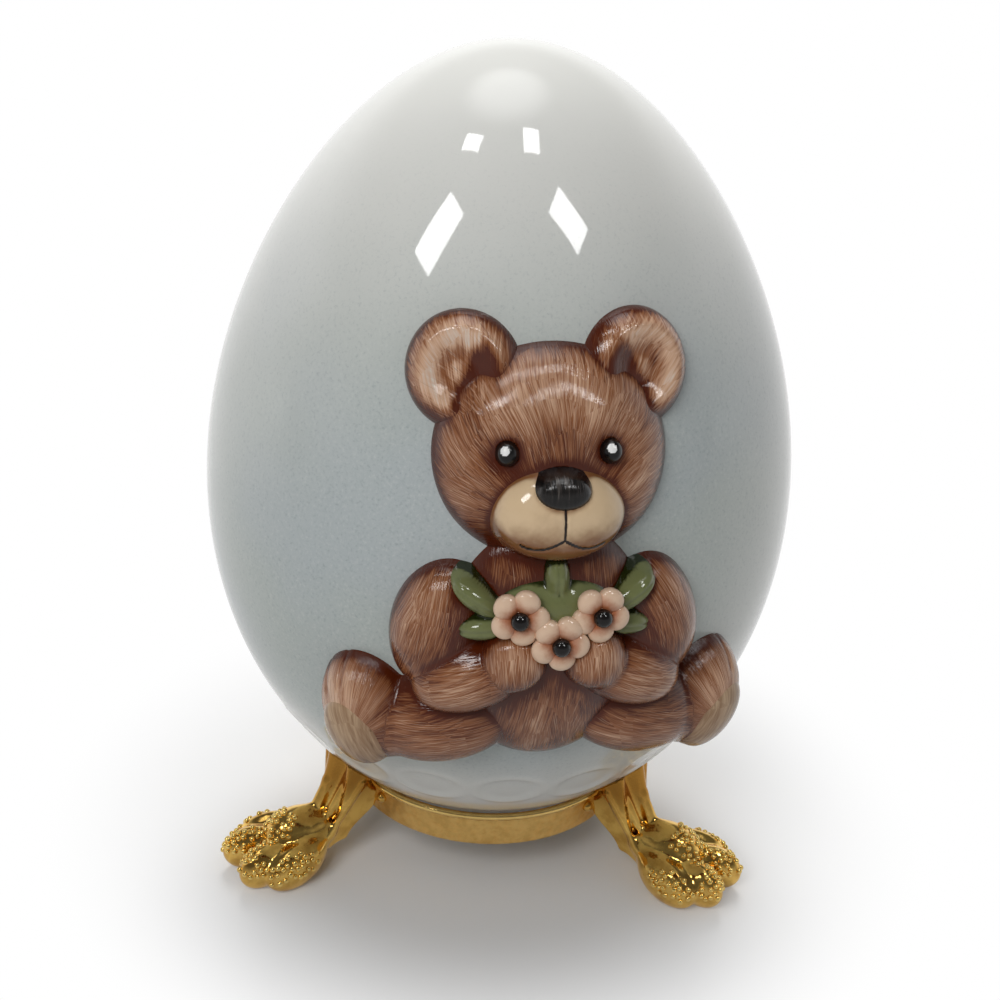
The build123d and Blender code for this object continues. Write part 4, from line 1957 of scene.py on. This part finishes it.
@dataclass(frozen=True)
class Studio:
    """A white table under broad lamps, with the windows that the glaze mirrors."""

    camera: Camera = Camera()
    windows: tuple[tuple[Pair, ...], ...] = (
        ((452, 194), (465, 220), (427, 272), (414, 250)),
        ((562, 194), (591, 232), (576, 252), (545, 204)),
        ((466, 134), (483, 136), (478, 152), (463, 150)),
        ((525, 128), (541, 130), (537, 154), (522, 152)),
    )
    window_distance: float = 620.0
    window_glow: float = 13.0
    lamps: tuple[SoftLamp, ...] = (
        SoftLamp("overhead", (0.30, 0.26), (0.0, 0.42, 0.52), 3.5),
        SoftLamp("front", (0.35, 0.35), (-0.223, -0.551, 0.535), 2.5),
    )
    fill: float = 0.24
    dim_room: float = 0.12
    horizon: float = 0.45
    ceiling: Place = (-0.05, 0.30, 0.953)
    ceiling_edge: Pair = (0.93, 0.995)
    ceiling_glow: float = 2.4
    table_half: float = 4000.0
    table_bounce: float = 0.52
    table_seen: float = 0.75
    table_white: Pair = (0.022, 0.052)
    front_depths: Pair = (0.1, -0.1)
    wall_depths: Pair = (-0.25, 0.45)
    wall_heights: Pair = (0.2, 0.65)
    front_heights: Pair = (0.0, 0.5)
    view_reach: Pair = (0.75, 1.1)
    view_steps: int = 4000

    def mirrored_ray(self, pixel: Pair) -> tuple[Points, Points]:
        """Where the egg mirrors to, at a pixel: a place on the egg and the way out.

        Args:
            pixel: a pixel across and down.

        Returns:
            The place and the direction.
        """
        start, way = self.camera.ray(pixel)
        near, far = (self.camera.distance * share for share in self.view_reach)
        reach = np.linspace(near, far, self.view_steps)
        spots = start + way * reach[:, None]
        radius = EGG.radius_at(np.clip(spots[:, 2] - EGG.lift, 0, EGG.height))
        spot = spots[int(np.argmax(np.hypot(spots[:, 0], spots[:, 1]) < radius))]
        _, normal = EGG.place(math.atan2(spot[0], -spot[1]), spot[2] - EGG.lift)
        return spot, way - 2 * (way @ normal) * normal

    def window(self, corners: Sequence[Pair], name: str) -> None:
        """A lit pane placed so that the egg mirrors it at four pixels.

        Args:
            corners: pixels of its corners, in order round it.
            name: the lamp's name.
        """
        rays = [self.mirrored_ray(c) for c in corners]
        panes = np.array([spot + way * self.window_distance for spot, way in rays])
        centre = panes.mean(0)
        across = (panes[1] + panes[2] - panes[0] - panes[3]) / 2
        along = (panes[2] + panes[3] - panes[0] - panes[1]) / 2
        out = np.array([0, 0, EGG.height / 2]) - centre
        out /= np.linalg.norm(out)
        x = across - out * (across @ out)
        width, length = np.linalg.norm(x), np.linalg.norm(along)
        x /= width
        turn = Matrix([x, np.cross(-out, x), -out]).transposed().to_4x4()
        lamp = area_lamp(name, (width * MM, length * MM),
                         self.window_glow * math.pi * width * length * MM * MM,
                         Matrix.Translation(Vector(centre * MM)) @ turn)
        lamp.visible_diffuse = False
        LOG.info("%s: %.0f x %.0f mm", name, width, length)

    def floor(self) -> None:
        """A white table that keeps the shadow near the object and is plain white beyond."""
        half = self.table_half
        points = np.array([[-half, -half, 0], [half, -half, 0], [half, half, 0], [-half, half, 0]])
        floor = new_object("floor", points, np.array([[0, 1, 2, 3]]))
        g = Graph("table_white")
        place, rays = g.object_place(), g.wires("LightPath")
        far = g.ramp(g.vector("LENGTH", g.vector("MULTIPLY", place, (1, 1, 0))), *self.table_white)
        viewed = g.math("MAXIMUM", rays["Is Camera Ray"], rays["Is Glossy Ray"])
        greys = [(share, share, share, 1.0) for share in (self.table_bounce, self.table_seen)]
        near = g.wire("BsdfDiffuse", Color=g.mix(viewed, *greys, held=False))
        front = g.ramp(g.wires("SeparateXYZ", Vector=place)["Y"], *self.front_depths)
        dimmer = front * rays["Is Glossy Ray"] * (1 - self.horizon)
        white = g.wire("Emission", Color=(1, 1, 1, 1), Strength=1.0 - dimmer)
        share = far * g.math("MAXIMUM", viewed, rays["Is Transmission Ray"])
        blend = g.fed(g.node("MixShader"), share, near, white)
        floor.data.materials.append(g.ended(Wire(g, blend.outputs[0])))

    def world(self) -> None:
        """Even light from all round. Gloss mirrors a white wall behind and a dim room in front."""
        world = bpy.data.worlds.new("white_room")
        bpy.context.scene.world = world
        g = Graph("white_room", world)
        rays, sky = g.wires("LightPath"), g.wires("TexCoord")["Generated"]
        way = g.wires("SeparateXYZ", Vector=sky)
        wall = (g.ramp(way["Y"], *self.wall_depths)
                * g.ramp(way["Z"], *self.wall_heights, 1.0, 0.0))
        front = g.ramp(way["Z"], *self.front_heights, self.horizon, self.dim_room)
        lit = g.ramp(g.vector("DOT_PRODUCT", sky, self.ceiling), *self.ceiling_edge)
        mirrored = wall * (1.0 - front) + front + lit * self.ceiling_glow
        seen = g.math("MAXIMUM", rays["Is Camera Ray"], rays["Is Transmission Ray"])
        strength = (rays["Is Glossy Ray"] * (mirrored - self.fill)
                    + seen * (1 - self.fill) + self.fill)
        g.ended(g.wire("Background", Color=(1, 1, 1, 1), Strength=strength), "OutputWorld")

    def build(self) -> None:
        """Sets up the camera, the lamps, the table and the room."""
        self.camera.build()
        for number, corners in enumerate(self.windows, 1):
            self.window(corners, f"window_{number}")
        for lamp in self.lamps:
            lamp.build()
        self.floor()
        self.world()
        bpy.context.scene.view_settings.view_transform = "Standard"


def main() -> None:
    """Builds each sub-assembly in order and reports its pieces."""
    logging.basicConfig(level=logging.INFO, format="%(message)s")
    for part in (EggCasting(), BearRelief(), Posy(), LionPawLegs(), SeatRing()):
        for piece in part.build():
            LOG.info("%s: %d faces", piece.name, len(piece.data.polygons))
    Studio().build()


if __name__ == "__main__":
    main()
